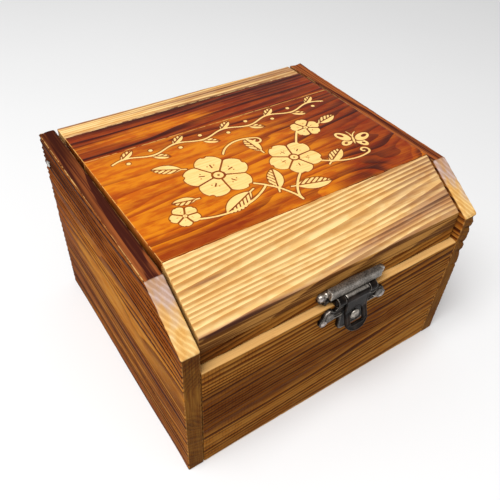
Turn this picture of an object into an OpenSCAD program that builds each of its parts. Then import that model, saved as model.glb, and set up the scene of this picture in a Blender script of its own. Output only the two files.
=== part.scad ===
// Wooden money box: a five-board case between two bevelled side boards, and a sloped lid
// that swings on two nails and is kept shut by a small hasp. Millimetres, +Z up.
// The origin is the middle of the underside, and -Y is the front.

/* [Case] */
// Width over the side boards
body_w = 150; // [120:1:200]
// Depth from the front face to the rear face
body_d = 133; // [115:1:180]
// Height of the side boards
side_h = 96; // [85:1:130]
// Thickness of the side boards
side_t = 7.5; // [5:0.5:10]
// Thickness of the front board and the back board
wall_t = 7.5; // [5:0.5:10]
// Thickness of the base board
base_t = 5; // [3:0.5:8]
// How far the sloping cut on the side boards runs back from the front
slope_run = 25; // [15:1:32]
// How far the sloping cut drops below the top of the side boards
slope_drop = 16; // [8:1:20]
// Width of the sanded arris along the boards' long edges
arris = 0.6; // [0.2:0.1:1.2]

/* [Lid] */
// Gap between the lid and each side board
lid_gap = 1.2; // [0.5:0.1:2.5]
// Height of the lid's front top edge above the side boards
lid_proud = 2; // [0:0.5:4]
// How much lower the lid's top lies at the rear than at the front
lid_fall = 2; // [0:0.5:4]
// Width of the front board's top edge left in view before the lid
ledge_w = 3.3; // [2:0.1:5]
// How far the lid's slope starts behind the top of the side boards' slope
slope_inset = 3.5; // [1:0.5:8]
// Thickness of the lid's top boards and slope board
lid_t = 7.5; // [5:0.5:10]
// Height of the batten's face under the lid's front edge
lip_h = 6.2; // [5:0.1:10]
// Thickness of the batten under the lid's front edge
lip_t = 7.5; // [5:0.5:10]
// Thickness of the rear rail
rail_t = 10; // [9:0.5:14]
// Depth of the narrow top board next to the rear rail
rear_board_d = 23; // [12:1:40]
// Width of the bevelled groove where the two top boards are glued
seam_w = 0.8; // [0.2:0.1:2]
// Gap under the closed lid
seat_gap = 0.3; // [0.1:0.1:1]

/* [Pivot] */
// Distance of the pivot nails in front of the rear face
pivot_inset = 7.5; // [6:0.5:8.5]
// Distance of the pivot nails below the top of the side boards
pivot_drop = 12; // [10:0.5:20]
// Diameter of the pivot nails
pivot_nail_d = 2; // [1.6:0.1:2.6]
// Diameter of the pivot nails' heads
pivot_head_d = 3.2; // [2.8:0.1:6]
// Thickness of the pivot nails' heads
pivot_head_t = 0.6; // [0.4:0.1:1.5]
// Length of a pivot nail inside the rear rail
pivot_reach = 12; // [8:1:20]
// Radial clearance of the rail's holes on the pivot nails
pivot_clearance = 0.06; // [0.03:0.01:0.1]
// Gap between the turning rear rail and the back board
rail_gap = 1; // [0.5:0.1:2]

/* [Hasp] */
// Sideways place of the hasp's middle
hasp_x = 4; // [-20:1:20]
// Width of the hasp over its two leaves
hasp_w = 36; // [30:1:44]
// Thickness of the leaves
leaf_t = 1.6; // [1:0.1:2.4]
// Thickness of the tongue
tongue_t = 1.2; // [0.8:0.1:2]
// Width of the tongue
tongue_w = 12; // [10.5:0.5:16]
// Width of each of the barrel's outer knuckles
knuckle_w = 4; // [3:0.5:5]
// Height of the tongue's bill below its window
bill_h = 3.2; // [2.4:0.1:4.5]
// Width of the tongue's metal on each side of its window, at the least
tongue_side_w = 2; // [1.5:0.1:3]
// Height of the window above the stud's head
window_rise = 2; // [1.4:0.1:2.6]
// Height of the window below the stud's head
window_sink = 1.3; // [0.9:0.1:1.8]
// Clearance of the window beside the stud's head
window_play = 0.8; // [0.4:0.1:1.2]
// Radius of the roll along the upper leaf's top
roll_r = 1.6; // [0.8:0.1:1.8]
// Radius of the round bosses on the lower leaf's wings
boss_r = 3.2; // [2.4:0.1:3.6]
// Radius of the barrel knuckles
knuckle_r = 2.3; // [1.8:0.1:2.8]
// Diameter of the barrel's pin
barrel_pin_d = 1.6; // [1.2:0.1:2]
// Radial clearance of the tongue on the barrel's pin
barrel_clearance = 0.05; // [0.03:0.01:0.1]
// Gap between neighbouring knuckles, and between the tongue and the leaves
hasp_gap = 0.4; // [0.2:0.05:0.6]
// Distance of the stud's middle below the front board's top edge
stud_drop = 8; // [7:0.5:10]
// Diameter of the stud's domed head
stud_d = 5; // [3.5:0.1:5.5]
// Height of the stud's domed head above the tongue's outer face
stud_proud = 1; // [0.5:0.1:1.6]
// Diameter of the hasp nails' heads
hasp_head_d = 3.4; // [2.4:0.1:4]
// Width of the leaves' metal round the nails' heads
lobe_rim = 0.6; // [0.3:0.1:1]
// Diameter of the hasp nails
hasp_nail_d = 1.3; // [1:0.1:1.6]
// Length of the hasp nails behind the leaves
hasp_nail_l = 5.5; // [3:0.5:6]

/* [Hidden] */
$fn = 48;
eps = 0.01;

// The case
front_y = -body_d / 2;
rear_y = body_d / 2;
inner_w = body_w - 2 * side_t;
slope_z = side_h - slope_drop;
slope_angle = atan(slope_drop / slope_run);

// The pivot axis, and the case's back board below the turning rail
pivot_y = rear_y - pivot_inset;
pivot_z = side_h - pivot_drop;
rail_bottom_z = pivot_z - pivot_inset;
back_h = rail_bottom_z - rail_gap;

// The lid's outline, seen from the side
lid_w = inner_w - 2 * lid_gap;
lid_front_y = front_y + ledge_w;
crest_y = front_y + slope_run + slope_inset;
crest_z = side_h + lid_proud;
plumb_t = lid_t / cos(slope_angle);
slope_low_z = crest_z - (crest_y - lid_front_y) * tan(slope_angle);
eave_z = slope_low_z - plumb_t;
lip_z = eave_z - lip_h;
front_h = lip_z - seat_gap;
rail_y = rear_y - rail_t;
seam_y = rail_y - rear_board_d;

// The hasp: the barrel's axis lies before the case's front, just above the ledge
upper_face_y = lid_front_y - leaf_t;
lower_face_y = front_y - leaf_t;
barrel_y = min(upper_face_y - hasp_gap - knuckle_r, lower_face_y - hasp_gap - tongue_t + knuckle_r);
barrel_z = lip_z + knuckle_r + hasp_gap / 2;
tongue_face_y = barrel_y - knuckle_r;
tongue_back_y = tongue_face_y + tongue_t;
barrel_half_w = tongue_w / 2 + hasp_gap + knuckle_w;
lobe_r = hasp_head_d / 2 + lobe_rim;
nail_x = hasp_w / 2 - lobe_r;
upper_nail_z = eave_z - hasp_nail_d * 0.9;
boss_z = front_h - hasp_gap - boss_r;
lower_nail_z = boss_z - boss_r * 0.75;
// The roll lies above the barrel and clears its knuckles
roll_y = upper_face_y - roll_r * 0.7;
roll_z = barrel_z + sqrt(pow(knuckle_r + roll_r + hasp_gap, 2) - pow(roll_y - barrel_y, 2));
roll_half_w = nail_x - hasp_head_d / 2 - hasp_gap;
stud_z = front_h - stud_drop;
stud_shank_d = stud_d * 0.6;
window_top_z = stud_z + stud_d / 2 + window_rise;
window_low_z = stud_z - stud_d / 2 - window_sink;
tongue_low_z = window_low_z - bill_h;
window_w = min(stud_d + 2 * window_play, tongue_w - 2 * tongue_side_w);
bill_bend_z = window_top_z - window_rise * 0.75;
stud_tip_y = tongue_face_y - stud_proud;
// The bill under the window stands out past the stud, on the circles that the lid's turning draws
stud_tip_r = norm([pivot_y - stud_tip_y, pivot_z - stud_z + stud_d / 2]);
bill_y = pivot_y - sqrt(pow(stud_tip_r + hasp_gap, 2) - pow(pivot_z - window_low_z, 2));
bill_tip_y = tongue_back_y
    - (tongue_back_y - bill_y) * (bill_bend_z - tongue_low_z) / (bill_bend_z - window_low_z);

// A list of points goes round an outline; each corner is cut back by e along both its edges
function toward(a, b, e) = a + (b - a) * e / norm(b - a);
function eased(points, e = arris) = [
    for (i = [0 : len(points) - 1])
        let (p = points[i], before = points[(i + len(points) - 1) % len(points)],
             after = points[(i + 1) % len(points)])
        for (q = [before, after]) toward(p, q, e)
];

// Height of the lid's top surface at the depth y
function lid_top(y) = crest_z - lid_fall * (y - crest_y) / (rear_y - crest_y);
// Height of the slope board's underside at the depth y
function slope_underside(y) = eave_z + (y - lid_front_y) * tan(slope_angle);

// Carries an outline drawn in Y and Z along X, over the width w round the middle
module across(w) {
    rotate([90, 0, 90]) translate([0, 0, -w / 2]) linear_extrude(w) children();
}

// Carries an outline drawn in X and Z forward from the depth y by t
module forward(y, t) {
    translate([0, y, 0]) rotate([90, 0, 0]) linear_extrude(t) children();
}

// A round bar along X
module bar_x(r, x0, x1, y, z) {
    translate([x0, y, z]) rotate([0, 90, 0]) cylinder(r = r, h = x1 - x0);
}

// A dome of the base radius r and the height h, cut from a ball
module dome(r, h) {
    ball_r = (r * r + h * h) / (2 * h);
    intersection() {
        translate([0, 0, h - ball_r]) sphere(r = ball_r);
        cylinder(r = r, h = h);
    }
}

// A nail driven in from the front: a domed head on the face at y, and a pointed shank behind it
module hasp_nail(x, y, z) {
    translate([x, y, z]) rotate([90, 0, 0]) {
        dome(hasp_head_d / 2, hasp_head_d * 0.28);
        mirror([0, 0, 1]) hasp_nail_shank();
    }
}

// The shank of a hasp nail, along +Z from the underside of its head
module hasp_nail_shank() {
    shank_l = leaf_t + hasp_nail_l;
    cylinder(d = hasp_nail_d, h = shank_l - hasp_nail_d);
    translate([0, 0, shank_l - hasp_nail_d]) cylinder(d1 = hasp_nail_d, d2 = 0.2, h = hasp_nail_d);
}

// The holes that a row of two hasp nails makes, from the face at y
module hasp_nail_holes(y, z) {
    for (side = [-1, 1])
        translate([hasp_x + side * nail_x, y, z]) rotate([-90, 0, 0]) hasp_nail_shank();
}

// The side boards stand at both ends of the case and carry the pivot nails
module side_board(side) {
    difference() {
        translate([side * (body_w - side_t) / 2, 0, 0]) across(side_t)
            polygon(eased([[front_y, 0], [rear_y, 0], [rear_y, side_h],
                           [front_y + slope_run, side_h], [front_y, slope_z]]));
        bar_x(pivot_nail_d / 2, -body_w, body_w, pivot_y, pivot_z);
    }
}

module side_left() {
    color("sienna") side_board(-1);
}

module side_right() {
    color("sienna") side_board(1);
}

module front_board() {
    color("saddlebrown") difference() {
        across(inner_w) polygon(eased([[front_y, 0], [front_y + wall_t, 0],
                                       [front_y + wall_t, front_h], [front_y, front_h]]));
        hasp_nail_holes(lower_face_y, lower_nail_z);
    }
}

module back_board() {
    color("saddlebrown") across(inner_w)
        polygon(eased([[rear_y - wall_t, 0], [rear_y, 0], [rear_y, back_h], [rear_y - wall_t, back_h]]));
}

// The base lies between the four walls, level with their lower edges
module base_board() {
    color("peru") across(inner_w)
        polygon([[front_y + wall_t, 0], [rear_y - wall_t, 0],
                 [rear_y - wall_t, base_t], [front_y + wall_t, base_t]]);
}

// A level board of the lid's top, from the depth y0 to y1, with a bevel along each seam it meets
module top_board(y0, y1, bevel_front, bevel_rear) {
    across(lid_w) polygon([
        [y0, lid_top(y0) - lid_t], [y1, lid_top(y1) - lid_t],
        [y1, lid_top(y1) - bevel_rear], [y1 - bevel_rear, lid_top(y1 - bevel_rear)],
        [y0 + bevel_front, lid_top(y0 + bevel_front)], [y0, lid_top(y0) - bevel_front]
    ]);
}

module lid_main_board() {
    color("darkorange") top_board(crest_y, seam_y, seam_w / 4, seam_w / 2);
}

module lid_rear_board() {
    color("chocolate") top_board(seam_y, rail_y, seam_w / 2, seam_w / 4);
}

// The slope board has both its ends cut plumb: the upper one meets the main board's edge
module lid_slope_board() {
    color("burlywood") across(lid_w)
        polygon(eased([[crest_y, crest_z], [lid_front_y, slope_low_z],
                       [lid_front_y, eave_z], [crest_y, crest_z - plumb_t]], arris / 2));
}

// The batten under the slope board closes the lid on the front board
module lid_lip_batten() {
    lip_y = lid_front_y + lip_t;
    color("saddlebrown") difference() {
        across(lid_w) polygon([
            [lid_front_y, lip_z], [lip_y, lip_z], [lip_y, slope_underside(lip_y)], [lid_front_y, eave_z]
        ]);
        hasp_nail_holes(upper_face_y, upper_nail_z);
    }
}

// The rear rail turns on the pivot nails: its lower rear edge is round about their axis
module lid_rear_rail() {
    color("tan") difference() {
        across(lid_w) {
            polygon([
                [rail_y, pivot_z], [rear_y, pivot_z], [rear_y, lid_top(rear_y) - arris],
                [rear_y - arris, lid_top(rear_y - arris)], [rail_y, lid_top(rail_y)]
            ]);
            translate([rail_y, rail_bottom_z]) square([pivot_y - rail_y, pivot_inset]);
            intersection() {
                translate([pivot_y, pivot_z]) circle(r = pivot_inset);
                translate([rail_y, rail_bottom_z]) square([rail_t, pivot_inset]);
            }
        }
        for (side = [-1, 1])
            translate([side * (lid_w / 2 - pivot_reach / 2), 0, 0])
                bar_x(pivot_nail_d / 2 + pivot_clearance, -pivot_reach / 2 - eps, pivot_reach / 2 + eps,
                      pivot_y, pivot_z);
    }
}

// A pivot nail goes through a side board into the rail: flat head, round shank, short point
module pivot_nail(side) {
    point_l = pivot_nail_d;
    shank_l = side_t + lid_gap + pivot_reach - point_l * 1.5;
    translate([side * body_w / 2, pivot_y, pivot_z]) rotate([0, side * -90, 0]) {
        cylinder(d = pivot_nail_d, h = shank_l);
        translate([0, 0, shank_l]) cylinder(d1 = pivot_nail_d, d2 = 0.3, h = point_l);
        translate([0, 0, -pivot_head_t / 2]) cylinder(d = pivot_head_d, h = pivot_head_t / 2);
        translate([0, 0, -pivot_head_t])
            cylinder(d1 = pivot_head_d - pivot_head_t, d2 = pivot_head_d, h = pivot_head_t / 2);
    }
}

module pivot_nail_left() {
    color("silver") pivot_nail(-1);
}

module pivot_nail_right() {
    color("silver") pivot_nail(1);
}

// The barrel's outer knuckles, or the tongue's middle one, between x0 and x1 from the middle
module knuckle(x0, x1) {
    bar_x(knuckle_r, hasp_x + x0, hasp_x + x1, barrel_y, barrel_z);
}

// A shallow arch over the half width c, with the height h
module crown(c, h) {
    arch_r = (c * c + h * h) / (2 * h);
    intersection() {
        translate([0, h - arch_r]) circle(r = arch_r);
        translate([-c, -h]) square([2 * c, 2 * h]);
    }
}

// The outline of the upper leaf: two lobes round the nails, joined by a waisted bar
module upper_leaf_outline() {
    bar_low = barrel_z - knuckle_r;
    bar_h = roll_z + roll_r / 2 - bar_low;
    bar_half_w = nail_x - lobe_r / 2;
    translate([hasp_x, 0]) difference() {
        union() {
            translate([-bar_half_w, bar_low]) square([2 * bar_half_w, bar_h]);
            for (side = [-1, 1]) translate([side * nail_x, upper_nail_z]) circle(r = lobe_r);
            translate([0, bar_low + bar_h]) crown(nail_x * 0.6, lobe_r / 2);
        }
        for (side = [-1, 1])
            translate([side * (nail_x - lobe_r * 1.6), bar_low]) circle(r = lobe_r * 0.3);
    }
}

module hasp_upper_leaf() {
    color("dimgray") difference() {
        union() {
            forward(lid_front_y, leaf_t) upper_leaf_outline();
            for (side = [-1, 1]) leaf_knuckle(side);
            bar_x(roll_r, hasp_x - roll_half_w, hasp_x + roll_half_w, roll_y, roll_z);
        }
        hasp_nail_holes(upper_face_y, upper_nail_z);
        bar_x(barrel_pin_d / 2, -body_w, body_w, barrel_y, barrel_z);
    }
}

// One of the leaf's outer knuckles, with the web that carries it on the leaf
module leaf_knuckle(side) {
    inner_x = tongue_w / 2 + hasp_gap;
    x0 = side > 0 ? inner_x : -barrel_half_w;
    knuckle(x0, x0 + barrel_half_w - inner_x);
    translate([hasp_x + x0, barrel_y, barrel_z - knuckle_r])
        cube([barrel_half_w - inner_x, upper_face_y + eps - barrel_y, 2 * knuckle_r]);
}

// The pin is held in the leaf's knuckles and carries the tongue
module hasp_barrel_pin() {
    color("gray") {
        bar_x(barrel_pin_d / 2, hasp_x - barrel_half_w, hasp_x + barrel_half_w, barrel_y, barrel_z);
        for (side = [-1, 1])
            translate([hasp_x + side * barrel_half_w, barrel_y, barrel_z])
                rotate([0, side * 90, 0]) dome(barrel_pin_d * 0.8, barrel_pin_d * 0.4);
    }
}

// The tongue's side view: straight below the barrel, then a bill that flares outwards
module tongue_profile() {
    polygon([
        [tongue_back_y, barrel_z], [tongue_back_y, bill_bend_z], [bill_tip_y, tongue_low_z],
        [bill_tip_y - tongue_t, tongue_low_z], [tongue_face_y, bill_bend_z], [tongue_face_y, barrel_z]
    ]);
}

// The tongue seen from the front: waisted at the window, with a rounded bill
module tongue_outline() {
    translate([hasp_x, 0]) difference() {
        union() {
            translate([-tongue_w / 2, window_low_z]) square([tongue_w, barrel_z - window_low_z]);
            translate([0, window_low_z]) mirror([0, 1]) crown(tongue_w / 2, bill_h);
        }
        translate([0, window_top_z - window_w / 2]) circle(d = window_w);
        translate([-window_w / 2, window_low_z])
            square([window_w, window_top_z - window_w / 2 - window_low_z]);
    }
}

module hasp_tongue() {
    color("dimgray") difference() {
        union() {
            knuckle(-tongue_w / 2, tongue_w / 2);
            intersection() {
                translate([hasp_x, 0, 0]) across(tongue_w) tongue_profile();
                forward(0, body_d) tongue_outline();
            }
        }
        bar_x(barrel_pin_d / 2 + barrel_clearance, -body_w, body_w, barrel_y, barrel_z);
    }
}

// The outline of the lower leaf: two wings with bosses and nail lobes over a round shield
module lower_leaf_outline() {
    wing_h = boss_r * 1.5;
    boss_x = nail_x - boss_r * 0.75;
    wing_low_z = front_h - hasp_gap - wing_h;
    shield_r = tongue_w * 0.6;
    translate([hasp_x, 0]) difference() {
        union() {
            for (side = [-1, 1]) {
                translate([side * nail_x, lower_nail_z]) circle(r = lobe_r);
                translate([side * boss_x, boss_z]) circle(r = boss_r);
            }
            translate([-boss_x, wing_low_z]) square([2 * boss_x, wing_h]);
            translate([0, stud_z]) circle(r = shield_r);
        }
        // A scallop in the top edge of each wing
        for (side = [-1, 1])
            translate([side * (boss_x + shield_r) / 2, front_h + hasp_gap]) circle(r = boss_r * 0.6);
    }
}

module hasp_lower_leaf() {
    color("dimgray") difference() {
        forward(front_y, leaf_t) lower_leaf_outline();
        hasp_nail_holes(lower_face_y, lower_nail_z);
        translate([hasp_x, front_y + eps, stud_z]) rotate([90, 0, 0])
            cylinder(d = stud_shank_d, h = leaf_t + 2 * eps);
    }
}

// The stud: a shank riveted in the lower leaf, a neck and a domed head that shows in the window
module hasp_stud() {
    head_r = stud_d / 2;
    neck_l = lower_face_y - stud_tip_y - head_r * 0.6;
    color("gray") translate([hasp_x, lower_face_y, stud_z]) rotate([90, 0, 0]) {
        translate([0, 0, -leaf_t]) cylinder(d = stud_shank_d, h = leaf_t);
        cylinder(r = head_r, h = neck_l);
        translate([0, 0, neck_l]) dome(head_r, head_r * 0.6);
    }
}

module hasp_upper_nails() {
    color("gray") for (side = [-1, 1]) hasp_nail(hasp_x + side * nail_x, upper_face_y, upper_nail_z);
}

module hasp_lower_nails() {
    color("gray") for (side = [-1, 1]) hasp_nail(hasp_x + side * nail_x, lower_face_y, lower_nail_z);
}

side_left();
side_right();
front_board();
back_board();
base_board();
lid_main_board();
lid_rear_board();
lid_slope_board();
lid_lip_batten();
lid_rear_rail();
pivot_nail_left();
pivot_nail_right();
hasp_upper_leaf();
hasp_barrel_pin();
hasp_tongue();
hasp_lower_leaf();
hasp_stud();
hasp_upper_nails();
hasp_lower_nails();
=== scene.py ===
"""A wooden money box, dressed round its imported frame.

The box is a case of five brushed and scorched boards, a sloped lid with a lacquered and engraved top,
and a small dark hasp. Every board is one closed grid whose relief follows the same growth rings that
its finish paints, so that a hard ring is also a raised one. The hasp's pieces are cast forms, worked
out as distances. Lengths are millimetres in the classes below, and become metres in the meshes.
"""

import logging
import math
from collections.abc import Callable, Sequence
from dataclasses import dataclass, field
from enum import Enum

import bpy
import numpy as np
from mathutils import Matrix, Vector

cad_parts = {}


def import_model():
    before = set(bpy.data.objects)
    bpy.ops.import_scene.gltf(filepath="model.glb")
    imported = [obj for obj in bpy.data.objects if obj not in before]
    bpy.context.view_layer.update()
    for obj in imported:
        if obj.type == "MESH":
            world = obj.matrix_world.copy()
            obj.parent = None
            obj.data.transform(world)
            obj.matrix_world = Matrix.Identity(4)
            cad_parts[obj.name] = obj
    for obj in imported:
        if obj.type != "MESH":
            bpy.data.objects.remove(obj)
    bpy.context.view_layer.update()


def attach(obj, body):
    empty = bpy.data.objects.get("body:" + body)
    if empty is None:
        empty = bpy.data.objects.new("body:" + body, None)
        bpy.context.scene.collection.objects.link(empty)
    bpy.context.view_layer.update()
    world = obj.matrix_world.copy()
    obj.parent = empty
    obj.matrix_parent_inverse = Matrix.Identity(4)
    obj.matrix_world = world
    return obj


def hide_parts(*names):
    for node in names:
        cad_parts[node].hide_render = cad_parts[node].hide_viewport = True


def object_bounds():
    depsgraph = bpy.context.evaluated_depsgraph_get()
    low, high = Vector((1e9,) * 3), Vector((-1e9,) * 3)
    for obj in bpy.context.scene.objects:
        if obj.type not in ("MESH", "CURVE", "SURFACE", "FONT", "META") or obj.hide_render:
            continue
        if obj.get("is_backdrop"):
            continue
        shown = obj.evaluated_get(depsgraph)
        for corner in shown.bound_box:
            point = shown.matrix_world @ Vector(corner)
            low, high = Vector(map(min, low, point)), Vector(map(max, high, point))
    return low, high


LOG = logging.getLogger("money_box")
MM = 0.001
AWAY = 9.0  # flat distance of all that lies clear of the engraving, in mm
EDGE_STEPS = 3  # grid lines over a board's rounded edge
FOLD_WIDTH = 0.3  # gap between the two grid lines at a fold, in mm
FOLD_CLEAR = 0.3  # share of the grid spacing that is kept clear of a fold
CELL = 0.2  # size of the cells that cast forms are wrapped in, in mm
FINE_CELL = 0.15
NAIL_CELL = 0.16
FLOOR_SIDES = 96
TO_RIGHT, TO_REAR, UP = (1.0, 0.0, 0.0), (0.0, 1.0, 0.0), (0.0, 0.0, 1.0)
TO_LEFT, TO_FRONT = (-1.0, 0.0, 0.0), (0.0, -1.0, 0.0)

Array = np.ndarray
Point = tuple[float, float, float]
Pair = tuple[float, float]
Spot = tuple[float, float, float, float, float]
Field = Callable[[Array], Array]
Outline = Callable[[Array, Array], Array]


# ------------------------------------------------------------------------------------------------
# Numbers over a surface


@dataclass(frozen=True)
class Ripples:
    """A smooth random field: a sum of sine waves with random headings and phases.

    Args:
        seed: start of the random numbers.
        length: typical wave length along each axis.
        count: number of waves.
    """

    seed: int
    length: Point
    count: int = 14

    SPREAD = 0.6  # spread of the headings, in waves for each length

    def __call__(self, p: Array) -> Array:
        """The field at points, with a spread of about one.

        Args:
            p: points as rows.

        Returns:
            The waves' sum over the square root of half their number.
        """
        rng = np.random.default_rng(self.seed)
        heading = rng.normal(0.0, self.SPREAD * math.tau, (self.count, 3)) / np.array(self.length)
        phase = rng.uniform(0.0, math.tau, self.count)
        return np.sin(p @ heading.T + phase).sum(axis=1) / math.sqrt(self.count / 2.0)


def smooth_step(low: float, high: float, value: Array) -> Array:
    """0 below low, 1 above high and 3t^2 - 2t^3 between them.

    Args:
        low: where the step starts.
        high: where it ends; below low, the step falls.
        value: the numbers to step.

    Returns:
        The stepped numbers.
    """
    t = np.clip((value - low) / (high - low), 0.0, 1.0)
    return t * t * (3.0 - 2.0 * t)


def value_at(value: Field | float, p: Array) -> Array | float:
    """A field's values at points, or the plain number that stands for an even field."""
    return value(p) if callable(value) else value


@dataclass(frozen=True)
class Spots:
    """A number over a board: a level, and soft spots that add to it.

    Args:
        level: the number all over.
        spots: each one's place along and across, its reach along and across, and what it adds. A spot
            fades as exp(-d^2), with d the distance from it in its reaches.
    """

    level: float
    spots: tuple[Spot, ...] = ()

    def __call__(self, p: Array) -> Array:
        """The number at board points."""
        total = np.full(len(p), self.level)
        for along, across, reach_along, reach_across, strength in self.spots:
            gap = ((p[:, 0] - along) / reach_along) ** 2 + ((p[:, 1] - across) / reach_across) ** 2
            total += strength * np.exp(-gap)
        return total


def grid_lines(length: float, step: float, edge: float, folds: Sequence[float] = ()) -> Array:
    """Grid lines over a length, laid out round its middle.

    They are close together in the rounded edges, even between them, and doubled at each fold.

    Args:
        length: the whole length.
        step: spacing in the middle.
        edge: width of the rounded edge at each end.
        folds: places where the board's outline has a corner.

    Returns:
        The rising places of the lines.
    """
    half = length / 2.0
    inner = np.linspace(edge - half, half - edge, max(2, round((length - 2.0 * edge) / step) + 1))
    rise = edge * (1.0 - np.cos(np.linspace(0.0, math.pi / 2.0, EDGE_STEPS + 1)[:-1]))
    for fold in folds:
        inner = inner[np.abs(inner - fold) > FOLD_CLEAR * step]
        inner = np.sort(np.append(inner, [fold - FOLD_WIDTH / 2.0, fold + FOLD_WIDTH / 2.0]))
    return np.concatenate([rise - half, inner, (half - rise)[::-1]])


# ------------------------------------------------------------------------------------------------
# Timber: growth rings as a field in space


@dataclass(frozen=True)
class Timber:
    """The growth rings of the log that a board was sawn from.

    The pith is a line nearly along the board. Where it leans towards a face, that face cuts the rings
    as long arches.

    Args:
        seed: seed of the ripples.
        pith: the pith's place across the board and through it, from the board's middle.
        lean: how far the pith moves across and through for each mm along the board.
        ring: width of a ring.
        wander: size of the slow ripples, in rings.
        swing: wave length of those ripples along the board.
        knots: spots where a branch bends the rings, and by how many rings.
    """

    seed: int
    pith: Pair
    lean: Pair = (0.0, 0.0)
    ring: float = 2.6
    wander: float = 0.35
    swing: float = 90.0
    knots: tuple[Spot, ...] = ()

    FIRST = 40.0  # number of the ring at the pith
    SLOW = 22.0  # wave length of the slow ripples across the grain
    UNEVEN = 0.22  # size of the fine ripples, in rings
    STRETCH = 6.0  # how much longer they are along the grain
    FINE = (9.0, 30.0)  # their wave lengths across and through

    # How dense the wood is over one ring, from its spring border to its autumn border
    PARTS = (0.0, 0.10, 0.40, 0.66, 0.86, 0.95, 1.0)
    DENSE = (0.18, 0.0, 0.10, 0.55, 1.0, 0.85, 0.18)

    def rings(self, p: Array) -> Array:
        """Ring numbers at board points: distance from the pith over the ring width, ripples and knots.

        Args:
            p: rows of the place along, across and through the board.

        Returns:
            The ring numbers, whose whole values are the borders between rings.
        """
        off = p[:, 1:] - np.array(self.pith) - p[:, :1] * np.array(self.lean)
        slow = Ripples(self.seed, (self.swing, self.SLOW, self.SLOW))(p)
        uneven = Ripples(self.seed + 1, (self.swing * self.STRETCH, *self.FINE), 8)(p)
        rings = np.linalg.norm(off, axis=1) / self.ring + self.wander * slow
        return rings + self.UNEVEN * uneven + self.FIRST + Spots(0.0, self.knots)(p)

    def density(self, rings: Array) -> Array:
        """How dense the wood is at ring numbers: it rises slowly in each ring and drops at its border."""
        return np.interp(rings - np.floor(rings), self.PARTS, self.DENSE)


# ------------------------------------------------------------------------------------------------
# Meshes


def add_mesh(name: str, points: Array, faces: Array, attributes: dict[str, Array]) -> bpy.types.Object:
    """Makes a smooth-shaded object whose place is in its mesh.

    Args:
        name: name of the object.
        points: places in mm, as rows.
        faces: quads or triangles, as rows of point numbers.
        attributes: one number, or one row of three, for each point.

    Returns:
        The object, linked to the scene.
    """
    mesh = bpy.data.meshes.new(name)
    mesh.vertices.add(len(points))
    mesh.vertices.foreach_set("co", (points * MM).astype(np.float32).ravel())
    mesh.loops.add(faces.size)
    mesh.loops.foreach_set("vertex_index", faces.astype(np.int32).ravel())
    mesh.polygons.add(len(faces))
    mesh.polygons.foreach_set("loop_start", np.arange(0, faces.size, faces.shape[1], dtype=np.int32))
    mesh.polygons.foreach_set("use_smooth", np.ones(len(faces), dtype=bool))
    for key, values in attributes.items():
        kind, slot = ("FLOAT_VECTOR", "vector") if values.ndim == 2 else ("FLOAT", "value")
        mesh.attributes.new(key, kind, "POINT").data.foreach_set(slot, values.astype(np.float32).ravel())
    mesh.update(calc_edges=True)
    obj = bpy.data.objects.new(name, mesh)
    bpy.context.scene.collection.objects.link(obj)
    LOG.info("%s: %d points, %d faces", name, len(points), len(faces))
    return obj


def block_skin(cells: Sequence[int]) -> tuple[Array, Array]:
    """The skin of a block of whole-number cells.

    Each of the six faces is a grid of quads that turn anticlockwise seen from outside. Equal places are
    then merged, so the skin is closed.

    Args:
        cells: number of cells along each axis.

    Returns:
        The skin's places as rows of three whole numbers, and its quads as rows of four row numbers.
    """
    quads = []
    for axis in range(3):
        u_axis, v_axis = (axis + 1) % 3, (axis + 2) % 3
        u, v = np.meshgrid(np.arange(cells[u_axis]), np.arange(cells[v_axis]), indexing="ij")
        for level, order in ((cells[axis], (0, 1, 2, 3)), (0, (3, 2, 1, 0))):
            corners = np.empty((u.size, 4, 3), dtype=np.int64)
            for slot, (du, dv) in zip(order, ((0, 0), (1, 0), (1, 1), (0, 1))):
                corners[:, slot, axis] = level
                corners[:, slot, u_axis] = u.ravel() + du
                corners[:, slot, v_axis] = v.ravel() + dv
            quads.append(corners)
    corners = np.concatenate(quads).reshape(-1, 3)
    key = (corners[:, 0] * (cells[1] + 1) + corners[:, 1]) * (cells[2] + 1) + corners[:, 2]
    _, first, inverse = np.unique(key, return_index=True, return_inverse=True)
    return corners[first], inverse.reshape(-1, 4)


@dataclass(frozen=True)
class Placing:
    """Where a board lies: its middle in the box, and the box directions of its own three axes.

    Args:
        middle: the board's middle.
        along: direction of the grain.
        across: direction across the wide face.
        out: direction through the thickness, out of the show face.
    """

    middle: Point
    along: Point
    across: Point
    out: Point

    def __call__(self, p: Array) -> Array:
        """Carries board points to the box."""
        return np.array(self.middle) + p @ np.array([self.along, self.across, self.out])


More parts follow.
